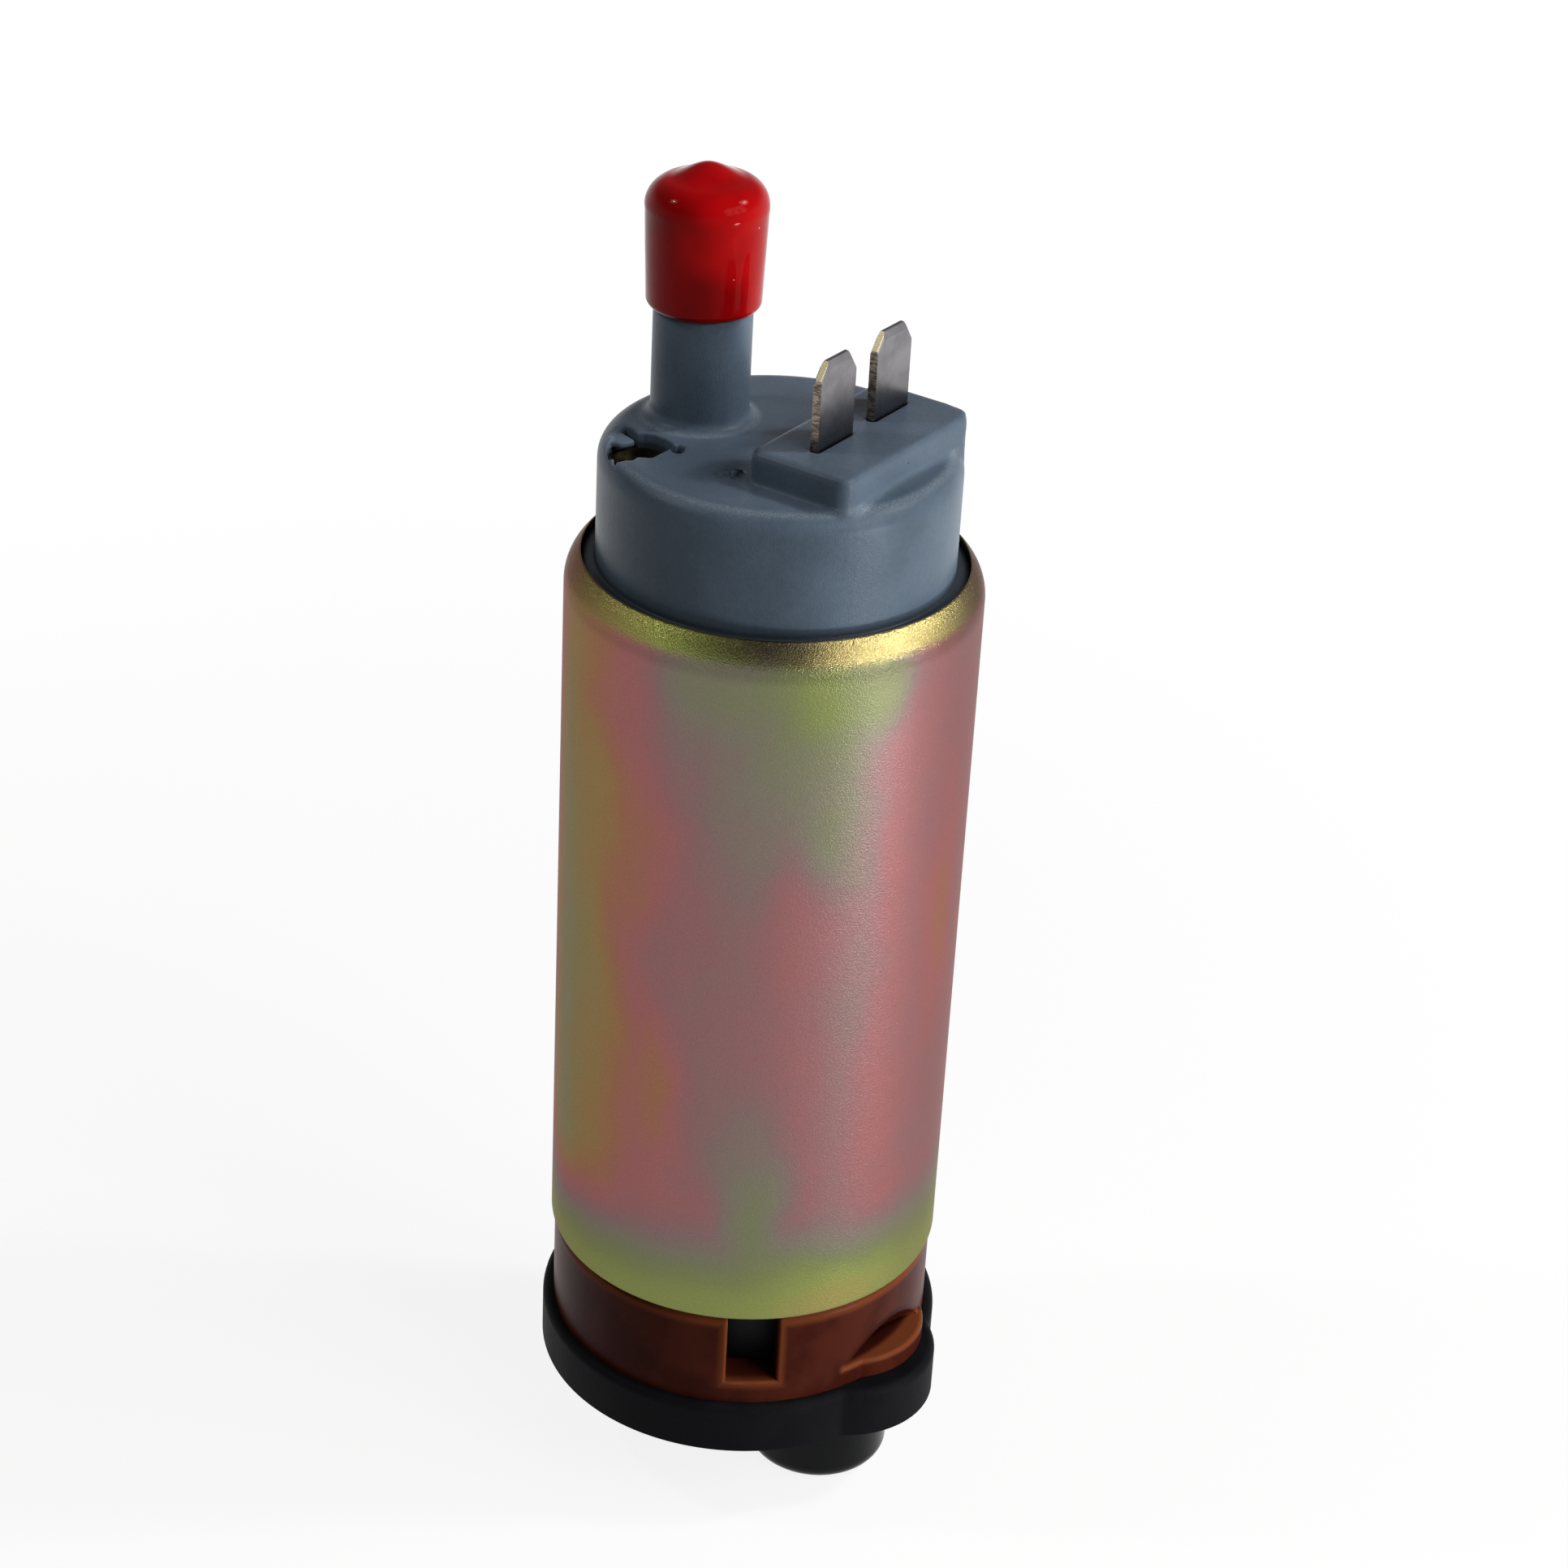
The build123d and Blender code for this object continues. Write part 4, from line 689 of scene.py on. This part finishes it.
def makeShell():
    size = {
        "radius": 19.0, "wall": 1.0, "straight": 68.3, "shoulder": 4.1, "lip": 17.5, "edge": 0.35,
        "crimpDepth": 0.4, "crimpHeight": 1.05,
        "lipCurve": [(0.056, 0.0192), (0.02, 0.088), (0.0, 0.16)], "lipTurn": 4, "lipRise": 0.1,
        "outStations": (0.4, 2, 6, 15, 30, 45, 58, 64, 67, 67.9),
        "inStations": (67.9, 60, 45, 30, 15, 4),
        "edgeSteps": 8, "outSteps": 40, "inSteps": 16, "segments": 224,
    }
    outR = size["radius"]
    inR = outR - size["wall"]
    top = size["straight"]
    edge = size["edge"]
    lip = size["lip"]
    outRound = size["shoulder"]
    inRound = outRound - size["wall"]
    centre = outR - outRound
    outSweep = degrees(acos((lip - centre) / outRound))
    inSweep = degrees(acos((lip - centre) / inRound))
    lipTop = top + outRound * sin(radians(outSweep))
    lipLow = top + inRound * sin(radians(inSweep))
    bead = inR - size["crimpDepth"]
    points = [(bead, -edge)]
    points += arcPoints(outR - edge, 0, edge, -90, 0, size["edgeSteps"])
    points += [(outR, z) for z in size["outStations"]]
    points += arcPoints(centre, top, outRound, 0, outSweep - size["lipTurn"], size["outSteps"])
    points += [(lip + out, lipTop - down) for out, down in size["lipCurve"]]
    points += [(lip, lipLow + size["lipRise"])]
    points += arcPoints(centre, top, inRound, inSweep, 0, size["inSteps"])
    points += [(inR, z) for z in size["inStations"]]
    crimp = size["crimpHeight"]
    points += [(inR, crimp + size["crimpDepth"]), (bead, crimp), points[0]]
    shell = turnedPiece("motorShell", points, {"Segments": size["segments"]}, chromate)
    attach(shell, "housing")
    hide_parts("motor_shell")


def makeDustCap():
    size = {
        "y": 9.0, "radius": 5.51, "draft": 0.036, "low": 92.77, "shoulderZ": 101.97, "top": 105.87,
        "shoulder": 2.6, "sweep": 76, "tipReach": 1.2, "rim": 0.75, "bore": 4.30, "boreTop": 102.12,
        "boreRound": 0.4, "boreLow": 97.0, "mouth": [(0.0, 0.12), (0.04, 0.03), (0.12, 0.0)],
        "stations": (0.2, 0.4, 0.6, 0.8, 0.97), "rimSteps": 10, "shoulderSteps": 20, "coneSteps": 24,
        "segments": 160, "dentDepth": 0.05, "dentSize": 3.5, "seed": 3.0,
        "lean": 0.02, "leanFade": 1.0,
    }
    shoulderZ = size["shoulderZ"]
    footR = size["radius"] - size["draft"] * (shoulderZ - size["low"])
    rim, bore, boreRound = size["rim"], size["bore"], size["boreRound"]
    points = [(0.0, size["boreTop"]), (bore - boreRound, size["boreTop"]),
              (bore, size["boreTop"] - boreRound), (bore, size["boreLow"])]
    points += [(bore + out, size["low"] + up) for out, up in size["mouth"]]
    points += arcPoints(footR - rim, size["low"] + rim, rim, -90, 0, size["rimSteps"])
    wallLow = size["low"] + rim
    wall = shoulderZ - wallLow
    points += [(footR + size["draft"] * wall * s, wallLow + wall * s) for s in size["stations"]]
    points += arcPoints(size["radius"] - size["shoulder"], shoulderZ, size["shoulder"],
                        0, size["sweep"], size["shoulderSteps"])
    # from the shoulder a soft cone runs up to the rounded peak
    startR, startZ = points[-1]
    reach = startR / 3
    bend = startZ + reach / tan(radians(size["sweep"]))
    for i in range(1, size["coneSteps"] + 1):
        t = i / size["coneSteps"]
        points.append((bezierPoint(t, startR, startR - reach, size["tipReach"], 0),
                       bezierPoint(t, startZ, bend, size["top"], size["top"])))
    values = {"Segments": size["segments"], "Axis Place": (0, size["y"] * mm, 0),
              "Dimple Depth": size["dentDepth"] * mm, "Dimple Size": size["dentSize"] * mm,
              "Seed": size["seed"]}
    cap = turnedPiece("dustCap", points, values, vinyl)
    # the dome leans a little to one side, as dipped ones do
    for vertex in cap.data.vertices:
        above = vertex.co.z - shoulderZ * mm
        if above > 0:
            side = photoRight[0] * vertex.co.x + photoRight[1] * (vertex.co.y - size["y"] * mm)
            vertex.co.z += size["lean"] * side * min(1.0, above / (size["leanFade"] * mm))
    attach(cap, "dust_cap")
    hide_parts("outlet_dust_cap")


makeShell()
makeDustCap()
print("turned pieces: done")


def prismObject(name, outline, low, high):
    count = len(outline)
    area = sum(a[0] * b[1] - b[0] * a[1] for a, b in zip(outline, outline[1:] + outline[:1]))
    if area < 0:
        outline = outline[::-1]
    points = [(x * mm, y * mm, z * mm) for z in (low, high) for x, y in outline]
    faces = [tuple(range(count))[::-1], tuple(range(count, 2 * count))]
    faces += [(i, (i + 1) % count, count + (i + 1) % count, count + i) for i in range(count)]
    mesh = bpy.data.meshes.new(name)
    mesh.from_pydata(points, [], faces)
    return newObject(name, mesh)


def squareOutline(half):
    return [(-half, -half), (half, -half), (half, half), (-half, half)]


# What stands outside a rounded corner. Signs point from the corner into the block.
def cornerOutline(x, y, signX, signY, radius, clear):
    turns = [radians(a) for a in range(0, 91, 10)]
    arc = [(x + signX * radius * (1 - cos(a)), y + signY * radius * (1 - sin(a))) for a in turns]
    return [(x - signX * clear, y - signY * clear), (x - signX * clear, y + signY * radius),
            *arc, (x + signX * radius, y - signY * clear)]


def applyModifiers(obj):
    mesh = evaluatedMesh(obj)
    old = obj.data
    obj.modifiers.clear()
    obj.data = mesh
    bpy.data.meshes.remove(old)


def combine(obj, tool, operation):
    modifier = obj.modifiers.new("cut", "BOOLEAN")
    modifier.operation = operation
    modifier.solver = "EXACT"
    modifier.object = tool
    applyModifiers(obj)
    mesh = tool.data
    bpy.data.objects.remove(tool)
    bpy.data.meshes.remove(mesh)


# A copy of a CAD node's mesh with its loose triangles merged.
def mergedCopy(nodeName, name):
    mesh = nodes[nodeName].data.copy()
    mesh.name = name
    work = bmesh.new()
    work.from_mesh(mesh)
    bmesh.ops.remove_doubles(work, verts=work.verts, dist=0.000001)
    work.to_mesh(mesh)
    work.free()
    return newObject(name, mesh)


# Averages each vertex with its neighbours, as often and as far as its weight says.
def relax(mesh, weights, rounds, share=0.6):
    count = len(mesh.vertices)
    ends = np.empty(len(mesh.edges) * 2, dtype=np.int64)
    mesh.edges.foreach_get("vertices", ends)
    first, second = ends[0::2], ends[1::2]
    points = np.empty(count * 3)
    mesh.vertices.foreach_get("co", points)
    points = points.reshape(-1, 3)
    valence = np.bincount(first, minlength=count) + np.bincount(second, minlength=count)
    for _ in range(rounds):
        total = np.zeros_like(points)
        for axis in range(3):
            total[:, axis] = (np.bincount(first, points[second, axis], minlength=count)
                              + np.bincount(second, points[first, axis], minlength=count))
        middle = total / np.maximum(valence, 1)[:, None]
        points += (middle - points) * weights[:, None] * share
    mesh.vertices.foreach_set("co", points.reshape(-1))
    mesh.update()
    return points


# Heights of the details are above the cover's flat top, in mm.
def cutCover(body):
    size = {
        "top": 82.37, "radius": 16.26, "topRound": 2.0, "roundSteps": 24, "segments": 256,
        "relief": (-9.3007, 8.8, 4.6), "plugLow": 81.07,
        "blockRounds": [(-9.4, -13.1, 1, 1, 1.3), (-9.4, -2.6, 1, -1, 1.3)], "blockFrom": 0.02,
        "endRound": (9.0, -11.06, 2.0), "endSweep": 51, "endSteps": 8, "endFrom": -0.2,
        "clear": 0.5, "outClear": 1.0, "high": 5.0,
    }
    details = {
        "hole": ("DIFFERENCE", -1.7, 1.0, [
            (-8.63, 12.74), (-7.54, 12.82), (-6.36, 12.59), (-6.52, 11.65), (-7.04, 10.67),
            (-6.49, 10.03), (-6.3, 9.14), (-6.46, 7.98), (-6.78, 7.01), (-7.06, 6.67), (-8.23, 6.47),
            (-9.27, 6.58), (-9.93, 6.47), (-10.53, 6.61), (-11.16, 7.6), (-12.06, 7.52),
            (-12.52, 8.49), (-12.57, 8.89), (-12.15, 9.28), (-12.15, 9.94), (-11.23, 10.86),
            (-10.04, 11.69), (-8.91, 11.94)]),
        "pit": ("DIFFERENCE", -1.0, 1.0, [
            (-7.25, 6.67), (-6.63, 6.39), (-6.71, 5.6), (-8.0, 5.1), (-8.38, 5.55), (-8.19, 6.21)]),
        "groove": ("DIFFERENCE", -0.75, 1.0, [
            (-12.2, 9.5), (-12.2, 8.9), (-14.0, 8.2), (-14.7, 7.4), (-15.1, 7.9), (-14.3, 8.8)]),
        "flap": ("UNION", -0.95, -0.35, [
            (-8.24, 12.9), (-7.0, 12.7), (-7.7, 10.5), (-8.0, 10.25), (-9.2, 10.9), (-9.5, 12.2)]),
        "markBack": ("UNION", -0.3, 0.38, [(-9.9, -0.9), (-9.2, -0.7), (-9.3, -0.1), (-9.8, 0.1)]),
        "markMiddle": ("UNION", -0.3, 0.38, [(-9.3, -1.4), (-8.7, -1.3), (-8.9, -0.6), (-9.4, -0.7)]),
        "markFront": ("UNION", -0.3, 0.38, [(-8.5, -0.6), (-7.9, -0.9), (-8.0, -1.5), (-8.6, -1.2)]),
    }
    top, high = size["top"], size["top"] + size["high"]
    # the round opening is filled to the cover's own surface, and the torn one is cut into it
    circle = arcPoints(*size["relief"], 0, 360, 48)[:-1]
    plug = prismObject("plug", circle, size["plugLow"], top + 1)
    topRound = size["topRound"]
    form = [(0.0, size["plugLow"] - 1), (size["radius"], size["plugLow"] - 1)]
    form += arcPoints(size["radius"] - topRound, top - topRound, topRound, 0, 90, size["roundSteps"])
    form += [(0.0, top)]
    surface = turnedPiece("coverForm", form, {"Segments": size["segments"]}, greyBlue)
    combine(plug, surface, "INTERSECT")
    combine(body, plug, "UNION")
    for name, (operation, low, rise, outline) in details.items():
        combine(body, prismObject(name, outline, top + low, top + rise), operation)
    # the block's upright corners
    for corner in size["blockRounds"]:
        outline = cornerOutline(*corner, size["clear"])
        combine(body, prismObject("blockRound", outline, top + size["blockFrom"], high), "DIFFERENCE")
    x, y, radius = size["endRound"]
    sweep = radians(size["endSweep"])
    outline = arcPoints(x, y, radius, 0, -size["endSweep"], size["endSteps"])
    endX, endY = outline[-1]
    endX += size["outClear"] * cos(sweep)
    endY -= size["outClear"] * sin(sweep)
    right = x + radius + size["outClear"]
    outline += [(endX, endY), (right, endY), (right, y)]
    combine(body, prismObject("endRound", outline, top + size["endFrom"], high), "DIFFERENCE")


# Melts the block's foot into the cover, most at its front, and softens the block's far corner.
def softenCover(mesh):
    size = {
        "top": 82.37, "block": (-9.4, 11.0, -13.1, -2.6), "allRounds": 3,
        "footReach": 1.5, "footFade": 0.9, "footLevel": 0.1, "footRise": 1.6, "backShare": 0.1,
        "frontFade": 0.001, "footRounds": 36,
        "corner": (10.9, -12.4), "cornerReach": 2.2, "cornerFade": 0.8, "cornerRise": 0.6,
        "cornerRounds": 24,
    }
    top = size["top"] * mm
    points = relax(mesh, np.ones(len(mesh.vertices)), size["allRounds"])
    x, y = points[:, 0], points[:, 1]
    x0, x1, y0, y1 = (v * mm for v in size["block"])
    dx = np.maximum(np.maximum(x0 - x, x - x1), 0)
    dy = np.maximum(np.maximum(y0 - y, y - y1), 0)
    inside = np.minimum(np.minimum(x - x0, x1 - x), np.minimum(y - y0, y1 - y))
    beside = np.where(inside > 0, inside, np.hypot(dx, dy)) / mm
    level = np.abs((points[:, 2] - top) / mm - size["footLevel"])
    foot = (np.clip(size["footReach"] - beside / size["footFade"], 0, 1)
            * np.clip(size["footRise"] - level / size["footFade"], 0, 1))
    front = np.clip((y0 + size["frontFade"] - y) / size["frontFade"], 0, 1)
    share = size["backShare"] + (1 - size["backShare"]) * front
    points = relax(mesh, foot * share, size["footRounds"])
    cornerX, cornerY = (v * mm for v in size["corner"])
    far = np.hypot(points[:, 0] - cornerX, points[:, 1] - cornerY) / mm
    near = np.clip((size["cornerReach"] - far) / size["cornerFade"], 0, 1)
    rise = np.clip((points[:, 2] - top) / mm / size["cornerRise"], 0, 1)
    relax(mesh, near * rise, size["cornerRounds"])


# The CAD form with its cut and melted details, softened as moulded plastic is. What lies below
# the split keeps the CAD's own faces.
def makeCover():
    size = {"split": 69.4, "overlap": 0.02, "high": 120, "half": 30, "voxel": 0.14, "faces": 180000,
            "sharp": 50}
    body = mergedCopy("outlet_cover", "outletCover")
    cutCover(body)
    lower = newObject("coverLower", body.data.copy())
    square = squareOutline(size["half"])
    combine(lower, prismObject("above", square, size["split"], size["high"]), "DIFFERENCE")
    above = prismObject("above", square, size["split"] - size["overlap"], size["high"])
    combine(body, above, "INTERSECT")
    remesh = body.modifiers.new("soften", "REMESH")
    remesh.mode = "VOXEL"
    remesh.voxel_size = size["voxel"] * mm
    applyModifiers(body)
    softenCover(body.data)
    thin = body.modifiers.new("thin", "DECIMATE")
    thin.ratio = min(1.0, size["faces"] / (2 * len(body.data.polygons)))
    applyModifiers(body)
    joined = bmesh.new()
    joined.from_mesh(body.data)
    joined.from_mesh(lower.data)
    joined.to_mesh(body.data)
    joined.free()
    bpy.data.objects.remove(lower)
    mesh = body.data
    mesh.materials.clear()
    mesh.materials.append(greyBlue)
    for polygon in mesh.polygons:
        polygon.material_index = 0
    mesh.shade_smooth()
    mesh.set_sharp_from_angle(angle=radians(size["sharp"]))
    mesh.calc_loop_triangles()
    print("outlet cover triangles:", len(mesh.loop_triangles))
    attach(body, "housing")
    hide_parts("outlet_cover")


makeCover()


# Smoothed copies of the springs and leads, all hung on the housing. Each is listed with the joint
# that moves its lower end and that joint's travel.
def makeSprings():
    followers = {
        "check_spring": ("check_valve_lift", 0.0020), "relief_spring": ("relief_valve_lift", 0.0012),
        "brush_spring_a": ("brush_a_slide", 0.0025), "brush_spring_b": ("brush_b_slide", 0.0025),
        "brush_lead_a": ("brush_a_slide", 0.0025), "brush_lead_b": ("brush_b_slide", 0.0025),
    }
    sharp = radians(40)
    for nodeName, (joint, travel) in followers.items():
        first, *rest = nodeName.split("_")
        piece = mergedCopy(nodeName, first + "".join(word.capitalize() for word in rest))
        piece.data.shade_smooth()
        piece.data.set_sharp_from_angle(angle=sharp)
        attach(piece, "housing")
        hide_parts(nodeName)
        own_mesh(piece)
    print("springs and leads:", len(followers))


makeSprings()


def makeCamera():
    view = {"place": (-0.23855, -0.15710, 0.20816), "up": (0.3805, 0.3123, 0.8705), "lens": 80.88,
            "sensor": 36.0, "clip": 0.01}
    data = bpy.data.cameras.new("photoCamera")
    data.lens = view["lens"]
    data.sensor_width = view["sensor"]
    data.clip_start = view["clip"]
    camera = newObject("photoCamera", data)
    right = Vector(photoRight).normalized()
    back = right.cross(Vector(view["up"])).normalized()
    up = back.cross(right)
    turn = Matrix((right, up, back)).transposed().to_4x4()
    camera.matrix_world = Matrix.Translation(view["place"]) @ turn
    bpy.context.scene.camera = camera


# The floor is pale by itself, and camera, glossy and transmission rays see it lifted to white.
def makeFloor():
    size = {"reach": 3.0, "gap": 0.0002, "grey": 0.20, "roughness": 0.9,
            "lift": (0.06, 0.40, 0.86, 0.99)}  # distances near and far, and the lift at each
    low = cadBox[0][2] - size["gap"]
    mesh = bpy.data.meshes.new("studioFloor")
    corners = [(x, y, low) for x, y in squareOutline(size["reach"])]
    mesh.from_pydata(corners, [], [(0, 1, 2, 3)])
    floor = newObject("studioFloor", mesh)
    material, tree, shader, place = newMaterial("paleFloor")
    lift = smoothStep(tree, vectorMath(tree, "LENGTH", place), *size["lift"])
    rays = tree.nodes.new("ShaderNodeLightPath").outputs
    seen = largest(tree, rays["Is Camera Ray"], rays["Is Glossy Ray"], rays["Is Transmission Ray"])
    setInputs(tree, shader, {
        "Base Color": (size["grey"], size["grey"], size["grey"], 1.0), "Roughness": size["roughness"],
        "Specular IOR Level": 0.0, "Emission Color": (1.0, 1.0, 1.0, 1.0),
        "Emission Strength": multiply(tree, seen, lift)})
    mesh.materials.append(material)


# Mirrored rays see a pale horizon and a dimmer ceiling.
def makeWorld():
    level = {"world": 0.046, "ceiling": (0.03, 0.42, 1.0, 0.16)}
    world = bpy.data.worlds.new("studioWorld")
    bpy.context.scene.world = world
    world.use_nodes = True
    tree = world.node_tree
    rays = tree.nodes.new("ShaderNodeLightPath").outputs
    direction = tree.nodes.new("ShaderNodeTexCoord").outputs["Generated"]
    sky = smoothStep(tree, splitAxes(tree, direction)[2], *level["ceiling"])
    mirrored = largest(tree, rays["Is Glossy Ray"], rays["Is Transmission Ray"])
    strength = largest(tree, rays["Is Camera Ray"], multiply(tree, mirrored, sky), level["world"])
    background = {"Color": (1.0, 1.0, 1.0, 1.0), "Strength": strength}
    setInputs(tree, tree.nodes["Background"].inputs, background)


# Lamps stand round the middle of the pump: azimuth, elevation, distance, width, height, power.
def makeLamps():
    panes = {
        "windowLeft": (-102.5, 31, 0.53, 0.10, 0.23, 0.35),
        "windowMiddle": (-87.5, 31, 0.53, 0.10, 0.23, 0.34),
        "windowRight": (-72.5, 31, 0.53, 0.10, 0.23, 0.32),
        "windowLow": (-89, -12, 0.32, 0.04, 0.05, 0.42),
    }
    discs = {
        "lampRight": (-54, 44.5, 0.50, 0.035, 0.035, 0.44),
        "lampRightGlow": (-54, 44.5, 0.51, 0.13, 0.13, 0.55),
        "lampLeft": (126, 44.5, 0.50, 0.03, 0.03, 0.20),
        "lampLeftGlow": (126, 44.5, 0.51, 0.12, 0.12, 0.22),
    }
    middle = Vector((0.0, 0.0, 0.07))
    for shape, group in (("RECTANGLE", panes), ("DISK", discs)):
        for name, (azimuth, elevation, distance, width, height, power) in group.items():
            side, rise = radians(azimuth), radians(elevation)
            away = Vector((cos(rise) * cos(side), cos(rise) * sin(side), sin(rise)))
            data = bpy.data.lights.new(name, "AREA")
            data.shape = shape
            data.size = width
            if shape == "RECTANGLE":
                data.size_y = height
            data.energy = power
            lamp = newObject(name, data)
            lamp.location = middle + away * distance
            lamp.rotation_euler = (-away).to_track_quat("-Z", "Y").to_euler()
            lamp.visible_camera = False


makeCamera()
makeFloor()
makeWorld()
makeLamps()
bpy.context.scene.view_settings.view_transform = "Standard"
print("camera, floor and light: done")
